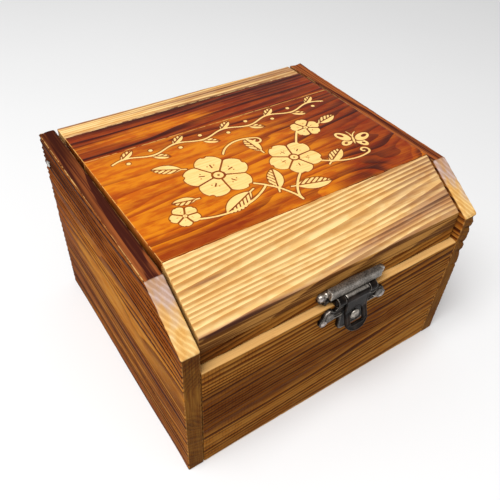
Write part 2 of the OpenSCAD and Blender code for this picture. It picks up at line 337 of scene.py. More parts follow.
@dataclass(frozen=True)
class Board:
    """A board as one closed grid with eased edges and brushed relief.

    Args:
        name: name of the piece.
        size: length along the grain, width and thickness.
        timber: the rings that it was sawn from.
        placing: where it lies.
        step: grid spacing along, across and through.
        relief: depth of the soft wood below the hard wood.
        easing: radius of the eased edges.
        dents: depth of the knocks in the arrises.
        folds: places along the board where its outline has a corner.
        shape: bends the plain board into its outline, in board points.
        deepen: factor on the relief.
        wear: how rubbed the arrises are, from 0 to 1.
        carve: depth of the carving.
        marks: further attributes, each worked out at board points.
    """

    name: str
    size: Point
    timber: Timber
    placing: Placing
    step: Point = (1.0, 0.42, 0.8)
    relief: float = 0.25
    easing: float = 0.6
    dents: float = 0.12
    folds: tuple[float, ...] = ()
    shape: Field | None = None
    deepen: Field | float = 1.0
    wear: Field | float = 1.0
    carve: Field | float = 0.0
    marks: dict[str, Field] = field(default_factory=dict)

    KNOCK_LENGTH = (7.0, 4.0, 4.0)
    KNOCK_WAVES = 20
    KNOCK_SHARE = 0.3  # added to the ripples, whose part above zero is the knocks

    def build(self) -> bpy.types.Object:
        """Builds the board.

        A point of the plain block moves to q + r n, where q is the point held inside the block less its
        easing radius r, and n points from q to it. It is bent to the outline, and then sinks along n by
        the relief where the wood is soft, and by the dents where n leaves the faces.

        Returns:
            The board, with its board point, face direction, ring number and arris share as attributes.
        """
        folds = (self.folds, (), ())
        lines = [grid_lines(s, d, self.easing, f) for s, d, f in zip(self.size, self.step, folds)]
        index, quads = block_skin([len(line) - 1 for line in lines])
        p = np.stack([line[index[:, axis]] for axis, line in enumerate(lines)], axis=1)
        core = np.array(self.size) / 2.0 - self.easing
        held = np.clip(p, -core, core)
        normal = (p - held) / np.linalg.norm(p - held, axis=1, keepdims=True)
        p = held + normal * self.easing
        if self.shape is not None:
            p = self.shape(p)
        rings = self.timber.rings(p)
        arris = smooth_step(0.05, 0.7, np.sort(np.abs(normal), axis=1)[:, 1])
        knocks = Ripples(self.timber.seed + 7, self.KNOCK_LENGTH, self.KNOCK_WAVES)(p)
        knocks = np.maximum(knocks + self.KNOCK_SHARE, 0.0)
        sink = self.relief * (1.0 - self.timber.density(rings)) * value_at(self.deepen, p)
        sink = sink + value_at(self.carve, p) + self.dents * arris * knocks
        marks = {key: mark(p) for key, mark in self.marks.items()}
        marks |= {"grain": p * MM, "face": normal, "ring": rings, "arris": arris * value_at(self.wear, p)}
        return add_mesh(self.name, self.placing(p - normal * sink[:, None]), quads, marks)


# ------------------------------------------------------------------------------------------------
# Cast forms, as distances


def soft_min(a: Array, b: Array, radius: float) -> Array:
    """The lesser of two distances, with a fillet where they are alike.

    The lesser is lowered by h^2 r / 4, where h is how far the two are alike within the radius r, from 0
    to 1.

    Args:
        a: the first distance.
        b: the second distance.
        radius: size of the fillet.

    Returns:
        The joined distance.
    """
    alike = np.maximum(radius - np.abs(a - b), 0.0) / radius
    return np.minimum(a, b) - alike * alike * radius / 4.0


def rounded(a: Array, b: Array, edge: float) -> Array:
    """Distance to what two solids share, with a round edge where their faces meet.

    Inside, the greater of the two counts, and outside the edge their hypotenuse, less the edge's radius.

    Args:
        a: distance to the first solid, plus the radius.
        b: distance to the second, plus the radius.
        edge: the radius.

    Returns:
        The distance.
    """
    return np.minimum(np.maximum(a, b), 0.0) + np.hypot(np.maximum(a, 0.0), np.maximum(b, 0.0)) - edge


class Form:
    """A solid given by its distance: below zero inside, above zero outside.

    Args:
        distance: the distance at points that are rows of x, y, z.
    """

    def __init__(self, distance: Field) -> None:
        self.distance = distance

    def __or__(self, other: "Form") -> "Form":
        """Both solids together."""
        return Form(lambda p: np.minimum(self.distance(p), other.distance(p)))

    def __sub__(self, other: "Form") -> "Form":
        """This solid less the other."""
        return Form(lambda p: np.maximum(self.distance(p), -other.distance(p)))

    def melt(self, other: "Form", radius: float) -> "Form":
        """Both solids with a fillet of the radius between them."""
        return Form(lambda p: soft_min(self.distance(p), other.distance(p), radius))

    def build(self, name: str, low: Point, high: Point, step: float,
              polish_and_highlight: Field | float) -> bpy.types.Object:
        """Wraps the solid's surface in quads: one point in each cell that it crosses.

        The point is the mean of the places where the surface cuts the cell's edges, and the four cells
        round each cut edge of the grid make a quad that faces out.

        Args:
            name: name of the piece.
            low: lowest corner of the space searched.
            high: highest corner.
            step: size of a cell.
            polish_and_highlight: how much more its points are rubbed than their shape asks, and any painted
                highlight.

        Returns:
            The piece, with how rubbed each point is, painted highlight included, as the attribute worn.
        """
        axes = [np.arange(lo - 2.0 * step, hi + 2.5 * step, step) for lo, hi in zip(low, high)]
        nodes = np.stack(np.meshgrid(*axes, indexing="ij"), axis=-1)
        value = self.distance(nodes.reshape(-1, 3)).reshape(nodes.shape[:3])
        cells = tuple(n - 1 for n in value.shape)
        total = np.zeros(cells + (3,))
        cuts = np.zeros(cells)
        quads = []
        number = np.full(cells, -1, dtype=np.int64)
        for axis in range(3):
            one, two = (axis + 1) % 3, (axis + 2) % 3
            near = np.take(value, range(value.shape[axis] - 1), axis)
            far = np.take(value, range(1, value.shape[axis]), axis)
            cut = (near < 0.0) != (far < 0.0)
            share = np.where(cut, near / np.where(cut, near - far, 1.0), 0.0)
            for d_one in (0, 1):
                for d_two in (0, 1):
                    window = [slice(None)] * 3
                    window[one] = slice(d_one, d_one + cells[one])
                    window[two] = slice(d_two, d_two + cells[two])
                    here = cut[tuple(window)]
                    total[..., axis] += np.where(here, share[tuple(window)], 0.0)
                    total[..., one] += here * d_one
                    total[..., two] += here * d_two
                    cuts += here
            inner = [slice(None)] * 3
            inner[one] = slice(1, cells[one])
            inner[two] = slice(1, cells[two])
            places = np.argwhere(cut[tuple(inner)])
            places[:, one] += 1
            places[:, two] += 1
            leaving = near[tuple(places.T)] < 0.0
            around = []
            for d_one, d_two in ((-1, -1), (0, -1), (0, 0), (-1, 0)):
                corner = places.copy()
                corner[:, one] += d_one
                corner[:, two] += d_two
                around.append(corner)
            quad = np.stack(around, axis=1)
            quads.append(np.where(leaving[:, None, None], quad, quad[:, ::-1]))
        full = cuts > 0
        number[full] = np.arange(int(full.sum()))
        cell = np.argwhere(full)
        points = np.array([axis[0] for axis in axes]) + (cell + total[full] / cuts[full][:, None]) * step
        faces = number[tuple(np.moveaxis(np.concatenate(quads), -1, 0))]
        worn = self.standing_out(points) + value_at(polish_and_highlight, points)
        return add_mesh(name, points, faces, {"worn": worn})

    def standing_out(self, points: Array, reach: float = 0.5) -> Array:
        """How sharply the surface stands out at its points.

        It looks inwards by the reach: behind a flat face the distance is the whole reach, and behind an
        edge it is less.

        Args:
            points: points on the surface.
            reach: how far it looks.

        Returns:
            0 on flat faces, rising on edges and falling below zero in hollows.
        """
        probe = np.eye(3) * 0.05
        slope = np.stack([self.distance(points + d) - self.distance(points - d) for d in probe], axis=1)
        slope /= np.maximum(np.linalg.norm(slope, axis=1, keepdims=True), 1e-9)
        return 1.0 + self.distance(points - slope * reach) / reach


def drum(middle: Point, axis: int, half_length: float, radius: float, edge: float = 0.0) -> Form:
    """A round bar with flat ends and eased edges, along one of the box's axes.

    Args:
        middle: its middle.
        axis: 0, 1 or 2 for x, y or z.
        half_length: half its length.
        radius: its radius.
        edge: radius of its eased edges.

    Returns:
        The drum.
    """
    others = [k for k in range(3) if k != axis]

    def distance(p: Array) -> Array:
        """Distance to what a round bar and the space between its ends share."""
        off = p - np.array(middle)
        wide = np.linalg.norm(off[:, others], axis=1) - radius + edge
        return rounded(wide, np.abs(off[:, axis]) - half_length + edge, edge)

    return Form(distance)


def block(middle: Point, half: Point, edge: float = 0.25) -> Form:
    """A block with eased edges.

    Args:
        middle: its middle.
        half: half its length along each axis.
        edge: radius of its eased edges.

    Returns:
        The block.
    """

    def distance(p: Array) -> Array:
        """The greatest of three distances inside, and the length of what is above zero outside."""
        off = np.abs(p - np.array(middle)) - np.array(half) + edge
        return np.minimum(off.max(axis=1), 0.0) + np.linalg.norm(np.maximum(off, 0.0), axis=1) - edge

    return Form(distance)


def plate(outline: Outline, front: Field | float, thick: float, edge: float = 0.3) -> Form:
    """A plate that stands in the X-Z plane, with eased edges.

    Args:
        outline: its flat distance at x and z.
        front: the depth y of its front face, or that depth at each z.
        thick: its thickness.
        edge: radius of its eased edges.

    Returns:
        The plate.
    """

    def distance(p: Array) -> Array:
        """Distance to what the outline and the space between the two faces share."""
        deep = np.abs(p[:, 1] - value_at(front, p[:, 2]) - thick / 2.0) - thick / 2.0 + edge
        return rounded(outline(p[:, 0], p[:, 2]) + edge, deep, edge)

    return Form(distance)


def rim(outline: Outline, inset: float, wide: float) -> Outline:
    """A band of a width that follows an outline, inset from it."""
    return lambda x, z: np.abs(outline(x, z) + inset + wide / 2.0) - wide / 2.0


def disc(x: Array, z: Array, centre: Pair, radius: float) -> Array:
    """Flat distance to a disc."""
    return np.hypot(x - centre[0], z - centre[1]) - radius


def oblong(x: Array, z: Array, centre: Pair, half: Pair, corner: float) -> Array:
    """Flat distance to a rectangle with round corners.

    Args:
        x: places across.
        z: places up.
        centre: the rectangle's middle.
        half: half its width and half its height.
        corner: radius of its corners.

    Returns:
        The distances.
    """
    wide = np.abs(x - centre[0]) - half[0] + corner
    return rounded(wide, np.abs(z - centre[1]) - half[1] + corner, corner)


# ------------------------------------------------------------------------------------------------
# Shader maths


def maths(operation: str) -> Callable[..., "Number"]:
    """Makes a method of Number that adds a Math node of an operation on the number and what it is given."""

    def method(self: "Number", *others: "Number | float") -> "Number":
        """The operation's result."""
        sockets = dict(enumerate((self, *others)))
        return self.shader.number("ShaderNodeMath", {"operation": operation}, sockets)

    return method


class Number:
    """A number that changes over a surface: a socket on which Python's operators add Math nodes.

    Args:
        shader: the shader that the socket is in.
        socket: the output socket.
    """

    def __init__(self, shader: "Shader", socket: bpy.types.NodeSocket) -> None:
        self.shader = shader
        self.socket = socket

    __add__ = __radd__ = maths("ADD")
    __sub__ = maths("SUBTRACT")
    __mul__ = __rmul__ = maths("MULTIPLY")
    floor = maths("FLOOR")
    fraction = maths("FRACT")
    size = maths("ABSOLUTE")
    sine = maths("SINE")

    def __rsub__(self, other: float) -> "Number":
        """The difference from a plain number."""
        return self.shader.number("ShaderNodeMath", {"operation": "SUBTRACT"}, {0: other, 1: self})

    def step(self, low: float, high: float) -> "Number":
        """A smooth step from 0 at low to 1 at high; it falls where high is below low."""
        start, end, first, last = (low, high, 0.0, 1.0) if low < high else (high, low, 1.0, 0.0)
        sockets = {"Value": self, "From Min": start, "From Max": end, "To Min": first, "To Max": last}
        return self.shader.number("ShaderNodeMapRange", {"interpolation_type": "SMOOTHSTEP"}, sockets)


class Tint:
    """A colour that changes over a surface.

    Args:
        shader: the shader that the socket is in.
        socket: the output socket.
    """

    def __init__(self, shader: "Shader", socket: bpy.types.NodeSocket) -> None:
        self.shader = shader
        self.socket = socket

    def toward(self, other: "Tint | Rgb", share: "Number | float") -> "Tint":
        """Part of the way to another colour."""
        return self.shader.blend("MIX", share, self, other)

    def times(self, other: "Tint | Rgb", share: "Number | float") -> "Tint":
        """Darkened by a share of another colour, as by a stain."""
        return self.shader.blend("MULTIPLY", share, self, other)


@dataclass(frozen=True)
class Rgb:
    """A paint colour from 0 to 255, as it looks on a screen."""

    red: float
    green: float
    blue: float

    def linear(self) -> tuple[float, float, float, float]:
        """The colour as light: each part p becomes ((p + 0.055) / 1.055)^2.4, or p / 12.92 near black."""
        parts = [channel / 255.0 for channel in (self.red, self.green, self.blue)]
        return *(p / 12.92 if p <= 0.04045 else ((p + 0.055) / 1.055) ** 2.4 for p in parts), 1.0


class Shader:
    """The node tree of one finish.

    Args:
        name: name of the material.
    """

    def __init__(self, name: str) -> None:
        self.material = bpy.data.materials.new(name)
        self.material.use_nodes = True
        self.tree = self.material.node_tree
        self.tree.nodes.clear()

    def node(self, kind: str, settings: dict, sockets: dict) -> bpy.types.Node:
        """Adds a node.

        Args:
            kind: its type.
            settings: its properties.
            sockets: values or links, by socket name or number.

        Returns:
            The node.
        """
        node = self.tree.nodes.new(kind)
        for key, value in settings.items():
            setattr(node, key, value)
        for key, value in sockets.items():
            self.feed(node.inputs[key], value)
        return node

    def feed(self, socket: bpy.types.NodeSocket, value: object) -> None:
        """Links an input socket to a number, a tint or an output, or sets it to a plain value."""
        source = value.socket if isinstance(value, (Number, Tint)) else value
        if isinstance(source, bpy.types.NodeSocket):
            self.tree.links.new(source, socket)
        else:
            socket.default_value = source.linear() if isinstance(source, Rgb) else source

    def number(self, kind: str, settings: dict, sockets: dict, output: int | str = 0) -> Number:
        """Adds a node and takes a number from it."""
        return Number(self, self.node(kind, settings, sockets).outputs[output])

    def blend(self, how: str, share: "Number | float", a: "Tint | Rgb", b: "Tint | Rgb") -> Tint:
        """Blends two colours.

        Args:
            how: the kind of blend.
            share: how much of the second colour.
            a: the first colour.
            b: the second colour.

        Returns:
            The blended colour.
        """
        settings = {"data_type": "RGBA", "blend_type": how, "clamp_factor": True}
        node = self.node("ShaderNodeMix", settings, {0: share, 6: a, 7: b})
        return Tint(self, node.outputs[2])

    def attribute(self, name: str) -> Number:
        """A number kept on the mesh."""
        return self.number("ShaderNodeAttribute", {"attribute_name": name}, {}, "Fac")

    def parts(self, name: str) -> tuple[Number, Number, Number]:
        """The three parts of a vector kept on the mesh."""
        vector = self.node("ShaderNodeAttribute", {"attribute_name": name}, {}).outputs["Vector"]
        split = self.node("ShaderNodeSeparateXYZ", {}, {0: vector})
        return tuple(Number(self, split.outputs[k]) for k in range(3))

    def grain(self, stretch: Point, shift: float = 0.0) -> bpy.types.NodeSocket:
        """Board points in mm, stretched for a texture.

        Args:
            stretch: texture cells for each mm along, across and through the board.
            shift: moves the texture, so that two of them differ.

        Returns:
            The vector socket.
        """
        vector = self.node("ShaderNodeAttribute", {"attribute_name": "grain"}, {}).outputs["Vector"]
        sockets = {"Vector": vector, "Scale": tuple(s / MM for s in stretch), "Location": (shift,) * 3}
        return self.node("ShaderNodeMapping", {}, sockets).outputs[0]

    def noise(self, vector: bpy.types.NodeSocket, detail: float = 3.0, roughness: float = 0.55) -> Number:
        """Cloudy noise from 0 to 1, mostly about a half."""
        sockets = {"Vector": vector, "Scale": 1.0, "Detail": detail, "Roughness": roughness}
        return self.number("ShaderNodeTexNoise", {}, sockets, "Fac")

    def mottle(self, scale: float, detail: float) -> Number:
        """Noise from 0 to 1 over the piece's own space, at a number of cells for each metre."""
        place = self.node("ShaderNodeTexCoord", {}, {}).outputs["Object"]
        sockets = {"Vector": place, "Scale": scale, "Detail": detail}
        return self.number("ShaderNodeTexNoise", {}, sockets, "Fac")

    def finish(self, colour: "Tint | Rgb", rough: "Number | float", height: "Number | None" = None,
               rise: float = 0.1, **rest: object) -> bpy.types.Material:
        """Ends the tree in a surface.

        Args:
            colour: base colour.
            rough: roughness.
            height: height of the fine relief, from 0 to 1.
            rise: how high that relief stands, in mm.
            rest: further sockets of the surface, with _ for a space.

        Returns:
            The material.
        """
        sockets = {"Base Color": colour, "Roughness": rough}
        sockets |= {key.replace("_", " "): value for key, value in rest.items()}
        if height is not None:
            relief = {"Height": height, "Distance": rise * MM, "Strength": 1.0}
            sockets["Normal"] = self.node("ShaderNodeBump", {}, relief).outputs[0]
        surface = self.node("ShaderNodeBsdfPrincipled", {}, sockets)
        self.node("ShaderNodeOutputMaterial", {}, {"Surface": surface.outputs[0]})
        return self.material


# ------------------------------------------------------------------------------------------------
# Finishes


@dataclass(frozen=True)
class ScorchedWood:
    """Softwood that was scorched, brushed along the grain and oiled.

    Args:
        name: name of the material.
        soft: colour of the spring wood.
        hard: colour of the autumn wood.
        burnt_soft: colour of the spring wood where the flame went over it.
        burnt_hard: colour of the autumn wood there.
        char: colour where the flame stayed longest.
        bare: colour of rubbed arrises and sanded edges.
        end: colour of the end grain.
        cut: colour of the sanded cuts across the grain.
        cut_shade: what they turn to where they lie high.
        stain: colour of the stained edges.
        glow: colour of the pale patches in them.
        oil: what the oil darkens the wood by, in patches.
        rough: roughness of the soft wood.
        streaks: how strongly the fibres show, from 0 to 1.
        even: how alike the rings are, from 0 to 1.
        worn: how far the arrises are rubbed through, about 0.
    """

    name: str
    soft: Rgb
    hard: Rgb
    burnt_soft: Rgb
    burnt_hard: Rgb
    char: Rgb
    bare: Rgb
    end: Rgb = Rgb(158, 108, 44)
    cut: Rgb = Rgb(232, 196, 132)
    cut_shade: Rgb = Rgb(190, 166, 158)
    stain: Rgb = Rgb(104, 54, 18)
    glow: Rgb = Rgb(206, 118, 44)
    oil: Rgb = Rgb(232, 204, 170)
    rough: float = 0.62
    streaks: float = 0.6
    even: float = 0.45
    worn: float = 0.0

    def cut_colour(self, s: Shader, cloud: Number, thread: Number) -> Tint:
        """The colour of sanded cuts across the grain: slanting growth lines, and patches of the shade.

        Args:
            s: the shader to add to.
            cloud: the board's clouds.
            thread: its fine fibres.

        Returns:
            The colour.
        """
        along, across, through = s.parts("grain")
        blot = s.noise(s.grain((0.10, 0.10, 0.22), 41.0), 2.0)
        slant = (through * 0.84 + along * 0.55) * (1.0 / (1.9 * MM)) + cloud * 1.5 + blot * 1.2
        lines = (slant.fraction() - 0.5).size().step(0.5, 0.15)
        high = (across + (blot - 0.5) * (22.0 * MM)).step(36.0 * MM, 47.0 * MM)
        ground = s.blend("MIX", high, self.cut, self.cut_shade)
        ground = ground.times(Rgb(232, 202, 148), blot.step(0.6, 0.4) * 0.6)
        return ground.times(Rgb(206, 178, 132), lines * 0.45 + (thread - 0.4) * 0.5)

    def layers(self, s: Shader) -> tuple[Tint, Number, Number]:
        """The wood's colour, its roughness and the height of its fibres.

        Late is 0 in spring wood and 1 in autumn wood. The flame's share is the scorch kept on the mesh,
        broken up by clouds and fibres. On the lid's top boards and slope, that scorch also holds painted
        shade and painted sheen.

        Args:
            s: the shader to add to.

        Returns:
            Colour, roughness and height.
        """
        ring = s.attribute("ring")
        within = ring.fraction()
        year = s.number("ShaderNodeTexWhiteNoise", {"noise_dimensions": "1D"}, {"W": ring.floor()}, "Value")
        late = within.step(0.05, 0.86) * within.step(1.0, 0.955)
        fibre = s.noise(s.grain((0.018, 1.3, 1.3)), 4.0)
        thread = s.noise(s.grain((0.07, 4.5, 4.5), 3.1), 2.0)
        cloud = s.noise(s.grain((0.014, 0.07, 0.07), 7.7), 2.0)
        patch = s.noise(s.grain((0.10, 0.35, 0.35), 11.3), 3.0)
        drift = s.noise(s.grain((0.009, 0.22, 0.22), 15.9), 2.0)
        tone = late * (self.even + (1.1 - self.even) * year) + (drift - 0.5) * 0.9
        tone = tone - s.attribute("calm") * 0.5
        tone = (tone + (fibre - 0.5) * self.streaks + (thread - 0.5) * 0.5 * self.streaks).step(0.0, 0.92)
        flame = s.attribute("scorch") + (cloud - 0.5) * 0.9 + (fibre - 0.5) * 0.5 + late * 0.12
        plain = s.blend("MIX", tone, self.soft, self.hard)
        dark = s.blend("MIX", tone, self.burnt_soft, self.burnt_hard)
        burnt = flame.step(0.25, 0.85)
        colour = plain.toward(dark, burnt).toward(self.char, flame.step(0.85, 1.35) * 0.85)
        colour = colour.times(self.oil, patch.step(0.42, 0.62) * 0.6)
        along, _, _ = s.parts("grain")
        saw = (along * (math.tau / (1.6 * MM)) + cloud * 9.0).sine().step(0.6, 1.0) * s.attribute("sawn")
        colour = colour.toward(self.burnt_hard, saw * patch.step(0.38, 0.6) * 0.4)
        rays = s.noise(s.grain((0.0, 0.06, 2.2), 27.0), 2.0)
        end = s.parts("face")[0].size().step(0.5, 0.9)
        ends = s.blend("MIX", rays.step(0.35, 0.65), self.end, self.hard).toward(self.end, 0.35)
        colour = colour.toward(ends.toward(self.burnt_hard, flame.step(0.2, 1.0) * 0.75), end * 0.92)
        streak = s.noise(s.grain((0.02, 1.1, 1.1), 31.0), 4.0, 0.7) * 0.8 + (1.0 - tone) * 0.2
        stained = s.blend("MIX", (streak + (fibre - 0.5) * 0.6).step(0.40, 0.68), self.stain, self.glow)
        colour = colour.toward(stained.toward(self.char, flame.step(0.5, 1.1) * 0.8), s.attribute("stain"))
        speck = s.noise(s.grain((0.30, 0.5, 0.5), 21.0), 3.0)
        rub = s.attribute("arris") * (speck + (thread - 0.5) * 0.4 + self.worn).step(0.44, 0.56)
        colour = colour.toward(self.bare, rub * 0.8)
        sanded = s.blend("MIX", (fibre * 0.5 + drift * 0.5).step(0.3, 0.7), self.bare, self.soft)
        colour = colour.toward(sanded.toward(self.bare, 0.6), s.attribute("sanded") * 0.95)
        colour = colour.toward(self.cut_colour(s, cloud, thread), s.attribute("cut") * 0.94)
        rough = self.rough - 0.16 * late * burnt + (thread - 0.5) * 0.18
        height = fibre * 0.55 + thread * 0.35 + saw * 0.06
        return colour, rough, height

    def build(self) -> bpy.types.Material:
        """The material of brushed boards."""
        s = Shader(self.name)
        colour, rough, height = self.layers(s)
        return s.finish(colour, rough, height, 0.16, Specular_IOR_Level=0.01)


@dataclass(frozen=True)
class LacqueredWood(ScorchedWood):
    """Scorched wood under a glossy lacquer, engraved down to the bare wood.

    Args:
        engraved: colour of the engraved places.
        etched: colour of their scorched rims.
    """

    engraved: Rgb = Rgb(232, 196, 126)
    etched: Rgb = Rgb(104, 46, 10)

    def build(self) -> bpy.types.Material:
        """The material of the lid's top."""
        s = Shader(self.name)
        colour, rough, height = self.layers(s)
        figure = s.attribute("figure")
        inside = figure.step(0.10, -0.10)
        rim = (figure - 0.18).size().step(0.42, 0.10)
        grime = s.noise(s.grain((0.25, 0.5, 0.5), 9.4), 4.0)
        pale = s.blend("MIX", grime.step(0.45, 0.75) * 0.45, self.engraved, self.bare)
        pale = pale.times(Rgb(218, 176, 112), (height - 0.42) * 2.4)
        colour = colour.toward(self.etched, rim * 0.8).toward(pale, inside)
        rough = rough + inside * 0.1
        coat = (1.0 - inside) * 0.6
        return s.finish(colour, rough, height, 0.05, Coat_Weight=coat, Coat_Roughness=0.1, Coat_IOR=1.28,
                        Specular_IOR_Level=0.01)


@dataclass(frozen=True)
class DarkMetal:
    """Cast metal with a blackened finish that is rubbed off its raised parts.

    Args:
        name: name of the material.
        deep: colour in the hollows.
        rubbed: colour of the raised parts.
        tarnish: colour of stains on flat places.
        rough: roughness where it is rubbed.
    """

    name: str
    deep: Rgb
    rubbed: Rgb
    tarnish: Rgb
    rough: float = 0.34

    def build(self) -> bpy.types.Material:
        """The material."""
        s = Shader(self.name)
        grit, wide = s.mottle(1500.0, 4.0), s.mottle(190.0, 4.0)
        # worn holds rubbing and, on the roll's top and the middle knuckle's top, painted highlight; both
        # turn to the rubbed colour
        raised = (s.attribute("worn") + (grit - 0.5) * 0.32 + (wide - 0.5) * 0.4).step(0.10, 0.66)
        colour = s.blend("MIX", wide.step(0.45, 0.7), self.deep, self.tarnish)
        rubbed = s.blend("MIX", grit.step(0.56, 0.40) * 0.3, self.rubbed, self.tarnish)
        colour = colour.toward(rubbed, raised)
        rough = self.rough + (1.0 - raised) * 0.14 + (grit - 0.5) * 0.2
        return s.finish(colour, rough, grit, 0.03, Metallic=0.95)


@dataclass(frozen=True)
class BrightSteel:
    """Drawn steel with fine scratches.

    Args:
        name: name of the material.
        colour: its colour.
        dull: its colour where it is scratched.
    """

    name: str
    colour: Rgb = Rgb(203, 200, 193)
    dull: Rgb = Rgb(150, 140, 126)

    def build(self) -> bpy.types.Material:
        """The material."""
        s = Shader(self.name)
        scratch = s.mottle(1500.0, 3.0)
        colour = s.blend("MIX", scratch.step(0.45, 0.75), self.colour, self.dull)
        return s.finish(colour, 0.24 + scratch * 0.16, scratch, 0.01, Metallic=1.0)


@dataclass(frozen=True)
class PaleFloor:
    """A plain pale floor.

    Args:
        name: name of the material.
        colour: its colour.
        cloud: its colour in faint clouds.
    """

    name: str = "pale_floor"
    colour: Rgb = Rgb(226, 226, 226)
    cloud: Rgb = Rgb(216, 216, 217)

    def build(self) -> bpy.types.Material:
        """The material."""
        s = Shader(self.name)
        return s.finish(s.blend("MIX", s.mottle(6.0, 2.0) * 0.3, self.colour, self.cloud), 0.55)


@dataclass(frozen=True)
class Finishes:
    """The finishes of the whole box."""

    side_wood: ScorchedWood = ScorchedWood(
        "brushed_side_wood", Rgb(178, 118, 46), Rgb(92, 44, 14), Rgb(138, 76, 28), Rgb(56, 23, 9),
        Rgb(50, 20, 12), Rgb(228, 174, 104), end=Rgb(130, 88, 36), stain=Rgb(66, 28, 22),
        glow=Rgb(160, 88, 44), streaks=0.5, worn=0.02)
    front_wood: ScorchedWood = ScorchedWood(
        "brushed_front_wood", Rgb(158, 106, 44), Rgb(96, 52, 16), Rgb(112, 64, 22), Rgb(60, 28, 8),
        Rgb(50, 24, 12), Rgb(214, 168, 104), end=Rgb(120, 82, 34), streaks=0.5, even=0.3)
    base_wood: ScorchedWood = ScorchedWood(
        "bare_base_wood", Rgb(226, 184, 122), Rgb(176, 122, 64), Rgb(170, 116, 64), Rgb(120, 74, 36),
        Rgb(90, 54, 26), Rgb(232, 196, 138), rough=0.72)
    pale_wood: ScorchedWood = ScorchedWood(
        "pale_brushed_wood", Rgb(232, 198, 136), Rgb(188, 142, 84), Rgb(186, 142, 100), Rgb(142, 102, 74),
        Rgb(62, 34, 30), Rgb(238, 206, 142), end=Rgb(180, 132, 70), stain=Rgb(92, 54, 24),
        glow=Rgb(176, 124, 62), oil=Rgb(240, 216, 184), rough=0.58, streaks=0.36, even=0.6)
    lacquered_wood: LacqueredWood = LacqueredWood(
        "lacquered_top_wood", Rgb(200, 116, 12), Rgb(156, 68, 6), Rgb(140, 56, 8), Rgb(70, 20, 6),
        Rgb(54, 16, 8), Rgb(232, 176, 94), end=Rgb(140, 84, 36), oil=Rgb(212, 136, 96), rough=0.42,
        streaks=0.42, even=0.1, worn=0.08)
    hasp_metal: DarkMetal = DarkMetal(
        "blackened_hasp_metal", Rgb(28, 24, 22), Rgb(176, 168, 158), Rgb(54, 44, 38))
    nail_metal: DarkMetal = DarkMetal(
        "blackened_nail_metal", Rgb(60, 54, 52), Rgb(188, 178, 172), Rgb(86, 74, 64), 0.3)
    bright_nail: BrightSteel = BrightSteel("bright_nail_steel")


def fit(piece: bpy.types.Object, node: str, body: str, material: bpy.types.Material) -> None:
    """Puts a piece in the place of a node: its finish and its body."""
    piece.data.materials.append(material)
    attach(piece, body)
    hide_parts(node)


def coat_node(node: str, material: bpy.types.Material) -> None:
    """Gives a node of the frame, which keeps its shape, a finish."""
    obj = bpy.data.objects[node]
    obj.data.materials.clear()
    obj.data.materials.append(material)
    LOG.info("%s: keeps its shape", node)


# ------------------------------------------------------------------------------------------------
# The engraved ornament


@dataclass(frozen=True)
class Blossom:
    """An open flower: petals parted by thin lines, round a button.

    Args:
        x: place of its middle across the lid.
        y: place of its middle from front to rear.
        reach: length of a petal.
        turn: turn of the flower, in degrees.
        petals: number of petals.
    """

    x: float
    y: float
    reach: float
    turn: float = 0.0
    petals: int = 5

    # All but the gap are shares of the reach: each petal's middle and half axes, its notch's middle and
    # radius, where it starts, its vein's ends and half width, its stamens' place and radius, and the
    # button's outer and inner radius
    PETAL = (0.6, 0.42, 0.44)
    NOTCH = (1.06, 0.10)
    HEART = 0.22
    VEIN = (0.42, 0.56, 0.025)
    STAMEN = (0.52, 0.11, 0.028)
    BUTTON = (0.15, 0.045)
    GAP = 0.42  # half the gap between two petals, in mm

    def distance(self, x: Array, y: Array) -> Array:
        """Flat distance to the flower.

        The angle is folded onto one petal. The petal is an ellipse less the strips beside its two
        borders, a notch in its tip, a vein and two stamens.

        Args:
            x: places across the lid.
            y: places from front to rear.

        Returns:
            The distances.
        """
        u, v = x - self.x, y - self.y
        radius = np.hypot(u, v)
        part = math.tau / self.petals
        angle = np.mod(np.arctan2(v, u) - math.radians(self.turn) + part / 2.0, part) - part / 2.0
        along, side = radius * np.cos(angle) / self.reach, np.abs(radius * np.sin(angle)) / self.reach
        out = radius / self.reach
        middle, long, wide = self.PETAL
        start, end, half = self.VEIN
        border = along * math.sin(part / 2) - side * math.cos(part / 2)
        petal = np.max([(np.hypot((along - middle) / long, side / wide) - 1.0) * long,
                        self.GAP / self.reach - border,
                        self.NOTCH[1] - np.hypot(along - self.NOTCH[0], side),
                        self.HEART - out,
                        half - np.maximum(side, np.maximum(along - end, start - along)),
                        self.STAMEN[2] - np.hypot(along - self.STAMEN[0], side - self.STAMEN[1])], axis=0)
        button = np.maximum(out - self.BUTTON[0], self.BUTTON[1] - out)
        return np.minimum(petal, button) * self.reach


@dataclass(frozen=True)
class Leaf:
    """A pointed leaf with a midrib, veined on one side.

    Args:
        x: place of its foot across the lid.
        y: place of its foot from front to rear.
        length: its length.
        heading: where it points, in degrees from across the lid.
    """

    x: float
    y: float
    length: float
    heading: float

    PLUMP = 0.23  # half its width, as a share of its length
    RIB = 0.34  # half the width of its midrib, in mm
    STALK = (0.16, 0.05, 0.36)  # how far the stalk reaches out and in, in lengths, and half its width
    VEINS = (2.4, 1.1, 0.30, 0.67)  # spacing, slant, half width and taper

    def distance(self, x: Array, y: Array) -> Array:
        """Flat distance to the leaf: what two circles share, less its midrib and veins."""
        turn = math.radians(self.heading)
        u = (x - self.x) * math.cos(turn) + (y - self.y) * math.sin(turn)
        v = (y - self.y) * math.cos(turn) - (x - self.x) * math.sin(turn)
        width = self.PLUMP * self.length
        bow = (self.length * self.length / 4.0 + width * width) / (2.0 * width)
        body = np.hypot(u - self.length / 2.0, np.abs(v) + bow - width) - bow
        spacing, slant, half, taper = self.VEINS
        off = np.abs(np.mod(u - slant * v, spacing) - spacing / 2.0)
        vein = np.where(v > 0.0, half - off * taper, -AWAY)
        out, into, thick = self.STALK
        stalk = np.maximum(np.abs(v) - thick, np.maximum(-u - out * self.length, u - into * self.length))
        return np.minimum(np.maximum(body, np.maximum(self.RIB - np.abs(v), vein)), stalk)


